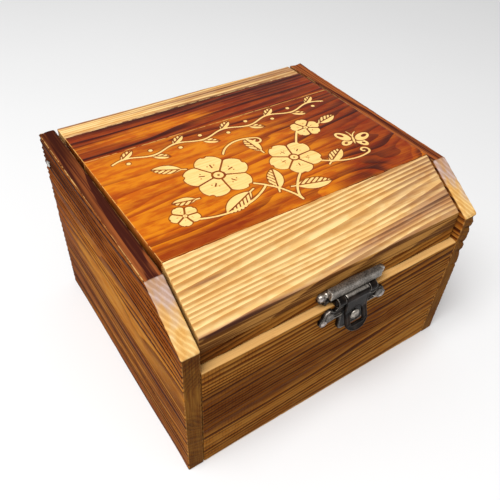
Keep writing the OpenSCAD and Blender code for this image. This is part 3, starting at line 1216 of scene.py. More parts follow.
@dataclass(frozen=True)
class Tendril:
    """A thin curved line of even width.

    Args:
        points: four points that pull a cubic curve from its start to its end.
        width: its width.
        curl: turns of the spiral at its end; its sign is the way round.
        coil: radius at which the spiral starts.
    """

    points: tuple[Pair, ...]
    width: float = 0.95
    curl: float = 0.0
    coil: float = 2.6

    CURVE_STEPS = 70
    COIL_STEPS = 60
    COIL_SHRINK = 0.72
    PARTS = 8  # the line is measured in so many parts, to spare memory

    def distance(self, x: Array, y: Array) -> Array:
        """Flat distance to the line, as the least distance to places along it.

        The curve at t is the points weighted by (1-t)^3, 3t(1-t)^2, 3t^2(1-t) and t^3. The spiral's
        radius shrinks evenly with its angle.

        Args:
            x: places across the lid.
            y: places from front to rear.

        Returns:
            The distances.
        """
        t = np.linspace(0.0, 1.0, self.CURVE_STEPS)[:, None]
        control = np.array(self.points)
        weights = np.hstack([(1 - t) ** 3, 3 * t * (1 - t) ** 2, 3 * t * t * (1 - t), t**3])
        line = weights @ control
        if self.curl:
            ahead = math.atan2(*(control[3] - control[2])[::-1])
            way = math.copysign(1.0, self.curl)
            angle = np.linspace(0.0, abs(self.curl) * math.tau, self.COIL_STEPS)[1:]
            radius = self.coil * (1.0 - angle / angle[-1] * self.COIL_SHRINK)
            bearing = ahead - way * math.pi / 2.0 + way * angle
            aside = ahead + way * math.pi / 2
            eye = line[-1] + self.coil * np.array([math.cos(aside), math.sin(aside)])
            coil = eye + radius[:, None] * np.stack([np.cos(bearing), np.sin(bearing)], axis=1)
            line = np.vstack([line, coil])
        gaps = [np.hypot(x[:, None] - part[:, 0], y[:, None] - part[:, 1]).min(axis=1)
                for part in np.array_split(line, self.PARTS)]
        return np.min(gaps, axis=0) - self.width / 2.0


@dataclass(frozen=True)
class Butterfly:
    """A butterfly seen from above, with open wings.

    Args:
        x: place of its middle across the lid.
        y: place of its middle from front to rear.
        span: width over its wings.
        turn: its turn in degrees.
    """

    x: float
    y: float
    span: float
    turn: float = 0.0

    # Ellipses as shares of the span: middle out and up, half axes, and lean in radians
    FORE_WING = (0.27, 0.15, 0.25, 0.15, 0.72)
    FORE_SPOT = (0.33, 0.20, 0.11, 0.06, 0.72)
    HIND_WING = (0.21, -0.14, 0.19, 0.12, -0.75)
    HIND_SPOT = (0.24, -0.17, 0.06, 0.045, -0.75)
    BODY = (0.0, 0.0, 0.028, 0.20, 0.0)
    WING_GAP = 0.03
    BODY_GAP = 0.05

    def distance(self, x: Array, y: Array) -> Array:
        """Flat distance to the butterfly: two ellipses a side less their spots, a body and feelers."""
        turn = math.radians(self.turn)
        u = np.abs((x - self.x) * math.cos(turn) + (y - self.y) * math.sin(turn)) / self.span
        v = ((y - self.y) * math.cos(turn) - (x - self.x) * math.sin(turn)) / self.span

        def oval(mid_u: float, mid_v: float, long: float, wide: float, lean: float) -> Array:
            """Flat distance to an ellipse with a middle, two half axes and a lean."""
            along = (u - mid_u) * math.cos(lean) + (v - mid_v) * math.sin(lean)
            side = (v - mid_v) * math.cos(lean) - (u - mid_u) * math.sin(lean)
            return (np.hypot(along / long, side / wide) - 1.0) * min(long, wide)

        fore_wing = oval(*self.FORE_WING)
        fore = np.maximum(fore_wing, -oval(*self.FORE_SPOT))
        hind = np.maximum(oval(*self.HIND_WING), -oval(*self.HIND_SPOT))
        hind = np.maximum(hind, self.WING_GAP - fore_wing)
        wings = np.maximum(np.minimum(fore, hind), self.BODY_GAP - u)
        feeler = np.maximum(np.abs(u - 0.02 - (v - 0.18) ** 2 * 2.0) - 0.018, np.abs(v - 0.30) - 0.12)
        return np.minimum(np.minimum(wings, oval(*self.BODY)), feeler) * self.span


@dataclass(frozen=True)
class Vine:
    """A wavy line with leaves and berries on both its sides.

    Args:
        start: where it starts across the lid.
        end: where it ends.
        y: its place from front to rear.
        wave: length of a wave.
        swing: how far it swings to each side.
    """

    start: float
    end: float
    y: float
    wave: float = 25.0
    swing: float = 1.7

    LEAF = (1.0, 2.0, 8.2, 34.0)  # how far a leaf's foot is set back and up, its length and its heading
    BERRY = (0.4, 2.3, 0.95)  # how far a berry is set on and down, and its radius
    STEM = (0.9, 0.42)  # shrink of the sine wave's band, for its slant, and half its width

    def distance(self, x: Array, y: Array) -> Array:
        """Flat distance to the vine: a sine wave's band, a leaf at each crest and berries between."""
        phase = (x - self.start) * math.tau / self.wave
        band = np.abs(y - self.y - self.swing * np.sin(phase)) * self.STEM[0] - self.STEM[1]
        line = np.maximum(band, np.maximum(self.start - x, x - self.end))
        for step in range(int((self.end - self.start) / self.wave * 2.0)):
            foot = self.start + (step + 0.5) * self.wave / 2.0
            side = 1.0 if step % 2 == 0 else -1.0
            back, up, length, heading = self.LEAF
            leaf = Leaf(foot - back, self.y + side * up, length, side * heading)
            on, down, radius = self.BERRY
            berry = np.hypot(x - foot - on, y - self.y + side * down) - radius
            line = np.minimum(np.minimum(line, leaf.distance(x, y)), berry)
        return line


@dataclass(frozen=True)
class Ornament:
    """The engraved garden on the lid's main board.

    Args:
        parts: its flowers, leaves, lines and butterfly.
        depth: depth of the engraving.
    """

    parts: tuple = (
        Blossom(-22.0, -3.5, 14.5, 14.0),
        Blossom(13.5, -9.0, 12.0, 40.0),
        Blossom(33.5, 8.5, 7.2, 5.0),
        Blossom(-47.0, -20.0, 6.0, 30.0),
        Tendril(((-1.5, -35.0), (-2.0, -29.0), (-6.0, -21.5), (-12.5, -16.0))),
        Tendril(((-1.5, -35.0), (-1.9, -30.5), (3.0, -24.5), (8.5, -20.0))),
        Tendril(((-9.5, -20.0), (-20.0, -28.0), (-32.0, -29.0), (-43.0, -24.5))),
        Tendril(((20.0, -2.0), (24.0, 3.5), (26.0, 6.0), (28.0, 8.0))),
        Tendril(((-12.0, 9.0), (-8.0, 15.0), (0.0, 17.5), (8.0, 13.0)), 0.9, -0.9),
        Tendril(((22.0, -17.0), (30.0, -23.0), (37.0, -25.0), (45.0, -23.0)), 0.9, 0.9),
        Leaf(-17.0, -20.0, 17.0, 205.0),
        Leaf(-6.0, -24.5, 14.5, 66.0),
        Leaf(1.5, -26.5, 16.0, -16.0),
        Leaf(25.0, -20.5, 12.5, 30.0),
        Leaf(-33.0, 8.0, 13.0, 152.0),
        Leaf(4.0, 2.5, 12.5, 96.0),
        Leaf(41.5, 8.5, 11.5, 12.0),
        Leaf(-38.0, -13.0, 10.0, 168.0),
        Butterfly(46.0, -11.5, 17.0, -28.0),
        Vine(-57.0, 57.5, 25.6),
    )
    depth: float = 0.22

    def distance(self, x: Array, y: Array) -> Array:
        """Flat distance to the nearest part, in mm."""
        least = np.full(x.shape, AWAY)
        for part in self.parts:
            least = np.minimum(least, part.distance(x, y))
        return least


# ------------------------------------------------------------------------------------------------
# The box


class Side(Enum):
    """The two ends of the box; the value is the sign of X."""

    LEFT = -1
    RIGHT = 1


@dataclass(frozen=True)
class Case:
    """The case: two side boards, a front, a back, a base and the lid's pivot nails.

    Args:
        width: width over the side boards.
        depth: depth from front to rear.
        height: height of the side boards.
        side_thick: thickness of the side boards.
        wall_thick: thickness of the front and the back.
        base_thick: thickness of the base.
        front_height: height of the front board.
        back_height: height of the back board.
        slope_run: how far the side boards' sloping cut runs back.
        slope_drop: how far it drops.
    """

    width: float = 150.0
    depth: float = 133.0
    height: float = 96.0
    side_thick: float = 7.5
    wall_thick: float = 7.5
    base_thick: float = 5.0
    front_height: float = 66.4675
    back_height: float = 75.5
    slope_run: float = 25.0
    slope_drop: float = 16.0

    BEAD = 7.6  # spacing of the beads on the right board's front edge
    BEAD_DEPTH = 1.3

    @property
    def inner(self) -> float:
        """The width between the side boards."""
        return self.width - 2.0 * self.side_thick

    def side_board(self, side: Side) -> Board:
        """A side board. Its grain runs from front to rear.

        Args:
            side: which end it stands at.

        Returns:
            The board.
        """
        sign = side.value

        def distance_back(p: Array) -> Array:
            """How far a point lies behind the front edge."""
            return self.depth / 2.0 + sign * p[:, 0]

        def top(p: Array) -> Array:
            """The board's height there, which the sloping cut lowers."""
            drop = np.maximum(self.slope_run - distance_back(p), 0.0) * self.slope_drop / self.slope_run
            return self.height - drop

        def depth_below(p: Array) -> Array:
            """How far a point lies below the upper edge."""
            return top(p) - p[:, 1] - self.height / 2.0

        def shape(p: Array) -> Array:
            """Lowers the plain board to its outline."""
            foot = -self.height / 2.0
            return np.stack([p[:, 0], foot + (p[:, 1] - foot) * top(p) / self.height, p[:, 2]], axis=1)

        def cut(p: Array) -> Array:
            """1 on the sloping cut and 0 elsewhere."""
            near = smooth_step(0.75, 0.35, depth_below(p))
            return near * smooth_step(self.slope_run + 0.2, self.slope_run - 0.4, distance_back(p))

        def stain(p: Array) -> Array:
            """1 on the level part of the upper edge and 0 elsewhere."""
            return smooth_step(0.6, 0.25, depth_below(p)) * (1.0 - cut(p))

        def wear(p: Array) -> Array:
            """The outer upper arris is rubbed most."""
            high = smooth_step(self.height / 2.0 - 3.0, self.height / 2.0 - 1.0, p[:, 1])
            return 0.3 + 0.7 * high * smooth_step(-1.0, 1.0, p[:, 2])

        def deepen(p: Array) -> Array:
            """The relief is deeper high up, and shallow at the front edge, on the cut and inside."""
            high = smooth_step(0.0, 34.0, p[:, 1])
            front = 0.3 + 0.7 * smooth_step(1.0, 9.0, distance_back(p))
            return (0.8 + 0.6 * high) * front * (1.0 - 0.8 * cut(p)) * smooth_step(-4.0, 1.0, p[:, 2])

        def carve(p: Array) -> Array:
            """Soft grooves across the right board's front edge, which leave a row of beads."""
            turn = p[:, 1] + 0.5 * p[:, 2] + 1.1 * np.sin(0.5 * p[:, 1]) - 2.0
            groove = (1.0 - np.sin(np.pi * (np.mod(turn, self.BEAD) / self.BEAD))) ** 2
            where = smooth_step(8.0, 1.0, distance_back(p)) * smooth_step(-4.0, 6.0, p[:, 1])
            where = where * smooth_step(0.4, 3.0, depth_below(p))
            return self.BEAD_DEPTH * groove * where * smooth_step(-4.0, 2.0, p[:, 2])

        if side is Side.LEFT:
            timber = Timber(21, (3.0, -14.0), (0.03, 0.0), 2.4, 0.35, 120.0, ((24.0, 6.0, 16.0, 6.0, 0.8),))
            scorch = Spots(0.50, ((-20.0, 38.0, 90.0, 14.0, 0.6), (66.0, 4.0, 60.0, 10.0, -0.26),
                                  (0.0, 2.0, 34.0, 10.0, -0.28), (0.0, -46.0, 90.0, 6.0, 0.2),
                                  (30.0, -12.0, 60.0, 5.0, 0.25), (-70.0, 0.0, 26.0, 60.0, 0.35)))
        else:
            timber = Timber(22, (4.0, -16.0), (-0.02, 0.01), 2.3, 0.3, 110.0)
            scorch = Spots(0.48, ((10.0, 0.0, 60.0, 14.0, -0.4), (0.0, 30.0, 90.0, 12.0, 0.15)))
        calm = Spots(0.0, ((4.0, 2.0, 34.0, 8.0, 1.0), (-60.0, -2.0, 24.0, 12.0, 0.6),
                           (-1.0, 21.0, 12.0, 4.5, 1.1)))
        place = Placing((sign * (self.width - self.side_thick) / 2.0, 0.0, self.height / 2.0),
                        (0.0, sign, 0.0), UP, (sign, 0.0, 0.0))
        return Board(f"board_side_{side.name.lower()}", (self.depth, self.height, self.side_thick), timber,
                     place, relief=0.34, dents=0.22, folds=(sign * (self.slope_run - self.depth / 2.0),),
                     shape=shape, deepen=deepen, wear=wear, carve=carve if side is Side.RIGHT else 0.0,
                     marks={"cut": cut, "stain": stain, "calm": calm, "scorch": scorch})

    def front_board(self) -> Board:
        """The front board. Its grain runs from side to side."""
        place = Placing((0.0, (self.wall_thick - self.depth) / 2.0, self.front_height / 2.0),
                        TO_RIGHT, UP, TO_FRONT)
        timber = Timber(33, (-52.0, -26.0), (0.05, 0.0), 2.3, 0.4, 120.0, ((27.0, 3.0, 10.0, 5.0, 1.4),))
        scorch = Spots(0.42, ((-66.0, 0.0, 60.0, 14.0, 0.35), (24.0, 12.0, 14.0, 6.0, 0.3),
                              (-20.0, 28.0, 50.0, 6.0, -0.3), (10.0, 2.0, 60.0, 8.0, 0.25),
                              (60.0, -26.0, 44.0, 7.0, -0.3), (-66.0, 26.0, 20.0, 6.0, -0.3)))

        def sanded(p: Array) -> Array:
            """The upper edge is sanded, and the foot less."""
            top = smooth_step(0.7, 0.35, self.front_height / 2.0 - p[:, 1])
            foot = smooth_step(1.5, 0.7, self.front_height / 2.0 + p[:, 1])
            return np.maximum(top, 0.75 * foot)

        return Board("board_front", (self.inner, self.front_height, self.wall_thick), timber, place,
                     relief=0.24, wear=0.15, marks={"scorch": scorch, "sanded": sanded,
                                                    "sawn": lambda p: smooth_step(-36.0, -46.0, p[:, 0])})

    def back_board(self) -> Board:
        """The back board."""
        place = Placing((0.0, (self.depth - self.wall_thick) / 2.0, self.back_height / 2.0),
                        TO_LEFT, UP, TO_REAR)
        timber = Timber(34, (10.0, -18.0), (-0.05, 0.08), 2.6, 0.4, 100.0)
        scorch = Spots(0.4, ((0.0, 0.0, 50.0, 16.0, -0.3),))
        return Board("board_back", (self.inner, self.back_height, self.wall_thick), timber, place,
                     relief=0.24, dents=0.14, marks={"scorch": scorch})

    def base_board(self) -> Board:
        """The base board, bare and sanded."""
        deep = self.depth - 2.0 * self.wall_thick
        place = Placing((0.0, 0.0, self.base_thick / 2.0), TO_RIGHT, TO_REAR, UP)
        timber = Timber(35, (12.0, -30.0), (0.02, 0.02), 4.2, 0.5, 100.0)
        return Board("board_base", (self.inner, deep, self.base_thick), timber, place,
                     step=(2.0, 0.8, 1.5), relief=0.05, easing=0.3, dents=0.03,
                     marks={"scorch": Spots(-0.2)})

    def build(self, finishes: Finishes) -> None:
        """Builds and dresses the case."""
        woods = {"side_wood": finishes.side_wood.build(), "front_wood": finishes.front_wood.build(),
                 "base_wood": finishes.base_wood.build()}
        for board, node, slot in ((self.side_board(Side.LEFT), "side_left", "side_wood"),
                                  (self.side_board(Side.RIGHT), "side_right", "side_wood"),
                                  (self.front_board(), "front_board", "front_wood"),
                                  (self.back_board(), "back_board", "front_wood"),
                                  (self.base_board(), "base_board", "base_wood")):
            fit(board.build(), node, "case", woods[slot])
        steel = finishes.bright_nail.build()
        for node in ("pivot_nail_left", "pivot_nail_right"):
            coat_node(node, steel)


@dataclass(frozen=True)
class Lid:
    """The lid: two lacquered top boards, a pale slope, a dark lip and a pale rear rail.

    Args:
        width: its width.
        front: depth of its front face.
        crest: depth where the slope meets the top.
        crest_height: height there.
        seam: depth of the glue line between the top boards.
        rail: depth of the rail's front face.
        rear: depth of its rear face.
        fall: how much lower its top is at the rear.
        thick: thickness of its boards.
        plumb: thickness of the slope board, measured plumb.
        slope_low: height of the slope's lower edge.
        lip_height: height of the lip's face.
        lip_thick: thickness of the lip.
        pivot: depth and height of the pivot.
        pivot_radius: radius of the rail's round edge about the pivot.
    """

    width: float = 132.6
    front: float = -63.2
    crest: float = -38.0
    crest_height: float = 98.0
    seam: float = 33.5
    rail: float = 56.5
    rear: float = 66.5
    fall: float = 2.0
    thick: float = 7.5
    plumb: float = 8.9045
    slope_low: float = 81.872
    lip_height: float = 6.2
    lip_thick: float = 7.5
    pivot: Pair = (59.0, 84.0)
    pivot_radius: float = 7.5
    ornament: Ornament = Ornament()

    def tilt(self) -> float:
        """Fall of the top for each mm to the rear."""
        return self.fall / (self.rear - self.crest)

    def top(self, y: float) -> float:
        """Height of the top at a depth."""
        return self.crest_height - self.tilt() * (y - self.crest)

    def top_placing(self, start: float, end: float) -> Placing:
        """Where a level board of the top lies between two depths."""
        middle = (start + end) / 2.0
        return Placing((0.0, middle, self.top(middle) - self.thick / 2.0),
                       TO_RIGHT, (0.0, 1.0, -self.tilt()), UP)

    def main_board(self) -> Board:
        """The wide top board, which carries the ornament."""
        middle = (self.crest + self.seam) / 2.0

        def figure(p: Array) -> Array:
            """Flat distance to the ornament on the show face."""
            shown = self.ornament.distance(p[:, 0], p[:, 1] + middle)
            return np.where(p[:, 2] > 0.0, shown, AWAY)

        def carve(p: Array) -> Array:
            """Depth of the engraving, which has sloping sides."""
            return self.ornament.depth * smooth_step(0.25, -0.25, figure(p))

        def wear(p: Array) -> Array:
            """The ends are rubbed most; the rubbed colour along the left part of the glue line is a painted
            highlight.
            """
            seam = smooth_step(30.0, -50.0, p[:, 0]) * smooth_step(34.0, 35.0, p[:, 1])
            ends = smooth_step(65.5, 66.0, np.abs(p[:, 0]))
            return np.maximum(np.maximum(seam, ends), 0.2)

        knot = (54.0, -34.0, 17.0, 15.0, -3.4)
        timber = Timber(41, (40.0, -19.0), (0.16, 0.05), 4.2, 0.5, 105.0, (knot,))
        # Besides scorch, the spot at -36 across that takes 0.42 off is a painted sheen: a paler golden glow
        # left of the middle.
        scorch = Spots(0.36, ((-40.0, -33.0, 34.0, 4.0, 0.4), (60.0, 10.0, 34.0, 36.0, 0.58),
                              (-36.0, 2.0, 40.0, 24.0, -0.42), (0.0, -12.0, 50.0, 9.0, -0.1),
                              (0.0, 31.0, 80.0, 6.0, 0.32), (46.0, -26.0, 16.0, 10.0, 0.4),
                              (39.0, -30.0, 7.0, 8.0, 0.35)))
        return Board("board_lid_main", (self.width, self.seam - self.crest, self.thick), timber,
                     self.top_placing(self.crest, self.seam), step=(0.5, 0.45, 2.5), relief=0.07,
                     easing=0.35, dents=0.1, wear=wear, carve=carve,
                     marks={"figure": figure, "scorch": scorch})

    def rear_board(self) -> Board:
        """The narrow top board behind the glue line."""
        timber = Timber(42, (-40.0, -9.0), (0.03, 0.02), 3.4, 0.5, 120.0)
        # Besides scorch, the spot at -26 across that takes 0.7 off is a painted reflection: a pale golden
        # band left of the middle.
        scorch = Spots(0.62, ((0.0, 11.0, 90.0, 6.0, 0.6), (-26.0, -1.0, 28.0, 3.5, -0.7),
                              (40.0, -2.0, 44.0, 12.0, 0.4), (-50.0, -9.0, 30.0, 2.0, 0.5)))
        return Board("board_lid_rear", (self.width, self.rail - self.seam, self.thick), timber,
                     self.top_placing(self.seam, self.rail), step=(1.0, 0.4, 2.5), relief=0.1, easing=0.4,
                     dents=0.1, marks={"figure": Spots(AWAY), "scorch": scorch})

    def slope_board(self) -> Board:
        """The sloping front board, with both ends of its width cut plumb."""
        run, rise = self.crest - self.front, self.crest_height - self.slope_low
        wide = math.hypot(run, rise)
        middle = (0.0, self.front + run / 2.0, self.slope_low + (rise - self.plumb) / 2.0)
        place = Placing(middle, TO_RIGHT, (0.0, run / wide, rise / wide),
                        (0.0, 0.0, self.plumb / self.thick))
        timber = Timber(43, (-70.0, -6.0), (0.05, 0.0), 2.2, 0.3, 150.0)

        def scorch(p: Array) -> Array:
            """A streak that climbs to the right, a faint patch, painted shade towards the right and a dark
            lower left arris.
            """
            climb = p[:, 1] + wide / 2.0 - 0.105 * (p[:, 0] + 26.0)
            streak = np.exp(-((climb / (1.5 + 0.9 * smooth_step(-30.0, 50.0, p[:, 0]))) ** 2))
            streak = streak * smooth_step(-50.0, 10.0, p[:, 0])
            patch = Spots(0.0, ((-52.0, 2.5, 12.0, 1.6, 1.0),))(p)
            lower = np.exp(-(((p[:, 1] + wide / 2.0) / 1.3) ** 2)) * smooth_step(1.5, 3.5, p[:, 2])
            lower = lower * (0.3 + smooth_step(0.0, -50.0, p[:, 0]))
            # Painted shade: the wood darkens towards the right.
            shade = 0.5 * smooth_step(-20.0, 70.0, p[:, 0])
            return 0.04 + shade + 0.62 * streak + 0.5 * patch + lower

        def stain(p: Array) -> Array:
            """1 on the lower edge and 0 elsewhere."""
            return smooth_step(0.5, 0.2, p[:, 1] + wide / 2.0)

        def wear(p: Array) -> Array:
            """The arrises are rubbed in the upper half."""
            return 0.6 * smooth_step(-10.0, 0.0, p[:, 1])

        return Board("board_lid_slope", (self.width, wide, self.thick), timber, place,
                     step=(1.0, 0.36, 0.8), relief=0.18, easing=0.45, wear=wear,
                     marks={"scorch": scorch, "stain": stain})

    def lip_batten(self) -> Board:
        """The batten under the slope, whose top is bevelled to meet it."""
        rise = (self.crest_height - self.slope_low) / (self.crest - self.front)
        low = self.slope_low - self.plumb - self.lip_height

        def shape(p: Array) -> Array:
            """Raises the batten's top to meet the slope."""
            high = self.lip_height + rise * (self.lip_thick / 2.0 - p[:, 2])
            foot = -self.lip_height / 2.0
            return np.stack([p[:, 0], foot + (p[:, 1] - foot) * high / self.lip_height, p[:, 2]], axis=1)

        place = Placing((0.0, self.front + self.lip_thick / 2.0, low + self.lip_height / 2.0),
                        TO_RIGHT, UP, TO_FRONT)
        timber = Timber(44, (-30.0, -12.0), (0.10, 0.02), 3.2, 0.4, 120.0)
        scorch = Spots(0.32, ((-60.0, 0.0, 22.0, 9.0, 0.4), (-30.0, -2.0, 20.0, 3.0, -0.3),
                              (30.0, 1.0, 40.0, 3.0, -0.2)))
        return Board("board_lid_lip", (self.width, self.lip_height, self.lip_thick), timber, place,
                     step=(1.0, 0.36, 0.8), relief=0.18, easing=0.4, dents=0.1, shape=shape, wear=0.0,
                     marks={"scorch": scorch})

    def rear_rail(self) -> Board:
        """The rail that the lid turns on, round at its lower rear edge."""
        deep = self.rear - self.rail
        foot = self.pivot[1] - self.pivot_radius
        high = self.top(self.rear - deep / 2.0) - foot
        middle = (0.0, self.rear - deep / 2.0, foot + high / 2.0)

        def shape(p: Array) -> Array:
            """Draws what lies below and behind the pivot in onto the circle about it."""
            y, z = p[:, 1] + middle[1] - self.pivot[0], p[:, 2] + middle[2] - self.pivot[1]
            corner = (y > 0.0) & (z < 0.0)
            draw = np.where(corner, self.pivot_radius / np.maximum(np.hypot(y, z), self.pivot_radius), 1.0)
            return np.stack([p[:, 0], y * draw + self.pivot[0] - middle[1],
                             z * draw + self.pivot[1] - middle[2]], axis=1)

        place = Placing(middle, TO_RIGHT, (0.0, 1.0, -self.tilt()), UP)
        timber = Timber(45, (-34.0, -10.0), (0.0, 0.015), 1.9, 0.3, 130.0)
        scorch = Spots(0.34, ((-50.0, 4.0, 30.0, 1.0, 0.6), (10.0, 0.5, 50.0, 1.0, 0.6),
                              (0.0, -5.0, 90.0, 0.9, 0.9), (60.0, 2.0, 30.0, 4.0, 0.3)))
        return Board("board_lid_rail", (self.width, deep, high), timber, place, step=(1.0, 0.4, 0.8),
                     relief=0.16, easing=0.45, shape=shape, marks={"scorch": scorch})

    def build(self, finishes: Finishes) -> None:
        """Builds and dresses the lid."""
        woods = {"lacquered_wood": finishes.lacquered_wood.build(), "pale_wood": finishes.pale_wood.build(),
                 "front_wood": bpy.data.materials[finishes.front_wood.name]}
        for board, node, slot in ((self.main_board(), "lid_main_board", "lacquered_wood"),
                                  (self.rear_board(), "lid_rear_board", "lacquered_wood"),
                                  (self.slope_board(), "lid_slope_board", "pale_wood"),
                                  (self.rear_rail(), "lid_rear_rail", "pale_wood"),
                                  (self.lip_batten(), "lid_lip_batten", "front_wood")):
            fit(board.build(), node, "lid", woods[slot])


@dataclass(frozen=True)
class Hasp:
    """The small cast hasp: an upper leaf with a roll, a tongue on a pin, a lower leaf and a stud.

    Args:
        x: place of its middle.
        reach: how far to each side its pieces are looked for.
        upper_face: depth of the upper leaf's face.
        lower_face: depth of the lower leaf's face.
        leaf_thick: thickness of the leaves.
        nail_x: how far the nails are from the middle.
        upper_nail: height of the upper nails.
        lower_nail: height of the lower nails.
        lobe: radius of the lobes round the nails.
        head: radius of the nails' heads.
        nail_shank: radius of the nails' shanks.
        nail_half: half the length of a shank.
        nail_ball: radius of the ball that a nail's head is the cap of.
        nail_sink: how far that ball's middle lies behind the face.
        barrel: depth and height of the barrel's axis.
        knuckle: radius of the knuckles.
        knuckle_gap: gap between neighbouring knuckles.
        upper_bore: radius of the pin's hole in the upper leaf.
        tongue_bore: radius of the pin's hole in the tongue.
        barrel_half: half the length of the barrel.
        roll: depth and height of the roll above the barrel.
        roll_radius: its radius.
        tongue_half: half the tongue's width.
        tongue_face: depth of the tongue's face.
        tongue_thick: its thickness.
        window: half width, lower and upper end of the window in the tongue.
        bill: height of the tongue's bill below the window.
        bend: height where the tongue's bill bends out.
        flare: how far the bill stands out for each mm below the bend.
        stud: height of the stud, its radius and the depth of its tip.
        stud_dome: half the thickness of the stud's head.
        shield: radius of the lower leaf's shield.
        boss: distance from the middle, height and radius of the bosses on the lower leaf's wings.
    """

    x: float = 4.0
    reach: float = 18.5
    upper_face: float = -64.8
    lower_face: float = -68.1
    leaf_thick: float = 1.6
    nail_x: float = 15.7
    upper_nail: float = 71.7975
    lower_nail: float = 60.4675
    lobe: float = 2.3
    head: float = 1.7
    nail_shank: float = 0.65
    nail_half: float = 3.2
    nail_ball: float = 1.95
    nail_sink: float = 1.0
    barrel: Pair = (-67.5, 69.2675)
    knuckle: float = 2.3
    knuckle_gap: float = 0.4
    upper_bore: float = 0.8
    tongue_bore: float = 0.9
    barrel_half: float = 10.4
    roll: Pair = (-65.92, 73.26)
    roll_radius: float = 1.6
    tongue_half: float = 6.0
    tongue_face: float = -69.8
    tongue_thick: float = 1.2
    window: Point = (3.3, 55.2, 62.9675)
    bill: float = 3.7325
    bend: float = 61.4675
    flare: float = 0.3416
    stud: Point = (58.4675, 2.5, -70.8)
    stud_dome: float = 1.15
    shield: float = 7.2
    boss: Point = (13.3, 62.8675, 3.2)

    RIM = (0.1, 0.9)  # inset and width of the leaves' raised rims
    TONGUE_RIM = (0.2, 0.7)
    CROWN = (36.0, 37.1)  # how far below the bar's top the crown's middle lies, and its radius
    CROWN_SHARE = 0.6  # how far the crown reaches towards the nails
    NOTCH = (1.6, 0.8)  # how many lobes inside the nails the bar is notched, and the notch's radius
    SCALLOP = (0.8, 1.9)  # how far above a boss its scallop's middle lies, and the scallop's radius
    FILLET = 0.9
    SOFT_FILLET = 1.6

    def upper_outline(self, x: Array, z: Array) -> Array:
        """Flat distance to the upper leaf: a bar with a low crown, and a lobe round each nail."""
        low, high = self.barrel[1] - self.knuckle, self.roll[1] + self.roll_radius / 2.0
        side = np.abs(x - self.x)
        half = (self.nail_x - self.lobe / 2.0, (high - low) / 2.0)
        bar = oblong(side, z, (0.0, (low + high) / 2.0), half, 0.9)
        crown = disc(side, z, (0.0, high - self.CROWN[0]), self.CROWN[1])
        crown = np.maximum(crown, np.maximum(side - self.nail_x * self.CROWN_SHARE, low - z))
        lobe = disc(side, z, (self.nail_x, self.upper_nail), self.lobe)
        notch = disc(side, z, (self.nail_x - self.lobe * self.NOTCH[0], low), self.NOTCH[1])
        return np.maximum(soft_min(np.minimum(bar, crown), lobe, self.FILLET), -notch)

    def lower_outline(self, x: Array, z: Array) -> Array:
        """Flat distance to the lower leaf: bosses and nail lobes on two wings, over a round shield."""
        side = np.abs(x - self.x)
        across, high, radius = self.boss
        boss = disc(side, z, (across, high), radius)
        lobe = disc(side, z, (self.nail_x, self.lower_nail), self.lobe)
        wing = oblong(side, z, (0.0, high + radius / 4.0), (across, radius * 0.75), 0.5)
        half = (self.shield, self.shield + 0.3)
        shield = oblong(side, z, (0.0, self.stud[0] - 0.3), half, self.shield * 0.35)
        body = soft_min(soft_min(wing, shield, 1.2), boss, self.SOFT_FILLET)
        above = high + radius + self.SCALLOP[0]
        scallop = disc(side, z, ((across + self.shield) / 2.0, above), self.SCALLOP[1])
        return np.maximum(soft_min(body, lobe, 1.0), -scallop)

    def tongue_outline(self, x: Array, z: Array) -> Array:
        """Flat distance to the tongue: a strip with a round end, less its round-headed window."""
        side = np.abs(x - self.x)
        low = self.window[1]
        strip = oblong(side, z, (0.0, (low + self.barrel[1]) / 2.0),
                       (self.tongue_half, (self.barrel[1] - low) / 2.0), 0.3)
        bow = (self.tongue_half**2 + self.bill**2) / (2.0 * self.bill)
        end = np.maximum(disc(side, z, (0.0, low - self.bill + bow), bow), side - self.tongue_half)
        end = np.maximum(end, z - low - 1.0)
        wide, _, high = self.window
        hole = oblong(side, z, (0.0, (low + high) / 2.0), (wide, (high - low) / 2.0), 0.5)
        hole = np.where(z > high - wide, disc(side, z, (0.0, high - wide), wide), hole)
        return np.maximum(np.minimum(strip, end), -hole)

    def upper_leaf(self) -> Form:
        """The upper leaf with its rim, outer knuckles and roll, whose top is pressed flat."""
        leaf = plate(self.upper_outline, self.upper_face, self.leaf_thick, 0.4)
        leaf = leaf | plate(rim(self.upper_outline, *self.RIM), self.upper_face - 0.35, 1.0)
        reach = self.nail_x - self.head - self.knuckle_gap
        depth, height = self.roll
        half = (reach, self.roll_radius + 0.1, self.roll_radius + 0.5)
        leaf = leaf.melt(block((self.x, depth, height + 0.7), half, 0.4), 0.7)
        inner = self.tongue_half + self.knuckle_gap
        half = (self.barrel_half - inner) / 2.0
        for side in (-1, 1):
            middle = self.x + side * (inner + half)
            leaf = leaf.melt(drum((middle, *self.barrel), 0, half, self.knuckle, 0.25), 0.4)
            web = (middle, (self.barrel[0] + self.upper_face) / 2.0 + 0.3, self.barrel[1])
            leaf = leaf | block(web, (half, 1.6, self.knuckle))
        return leaf - drum((self.x, *self.barrel), 0, 2.0 * self.barrel_half, self.upper_bore)

    def lower_leaf(self) -> Form:
        """The lower leaf with its rim, and a scroll in each boss."""
        leaf = plate(self.lower_outline, self.lower_face, self.leaf_thick, 0.4)
        leaf = leaf | plate(rim(self.lower_outline, *self.RIM), self.lower_face - 0.3, 1.0)

        def scroll(x: Array, z: Array) -> Array:
            """Flat distance to a button on each boss and a ridge from it towards the middle."""
            side = np.abs(x - self.x)
            button = disc(side, z, self.boss[:2], self.boss[2] - 0.8)
            ridge = np.maximum(np.abs(z - self.boss[1] + 1.5) - 0.5, np.abs(side - 9.2) - 2.8)
            return soft_min(button, ridge, 0.6)

        leaf = leaf | plate(scroll, self.lower_face - 0.85, 1.2, 0.55)
        return leaf - drum((self.x, self.lower_face, self.stud[0]), 1, 4.0, self.stud[1] * 0.6)

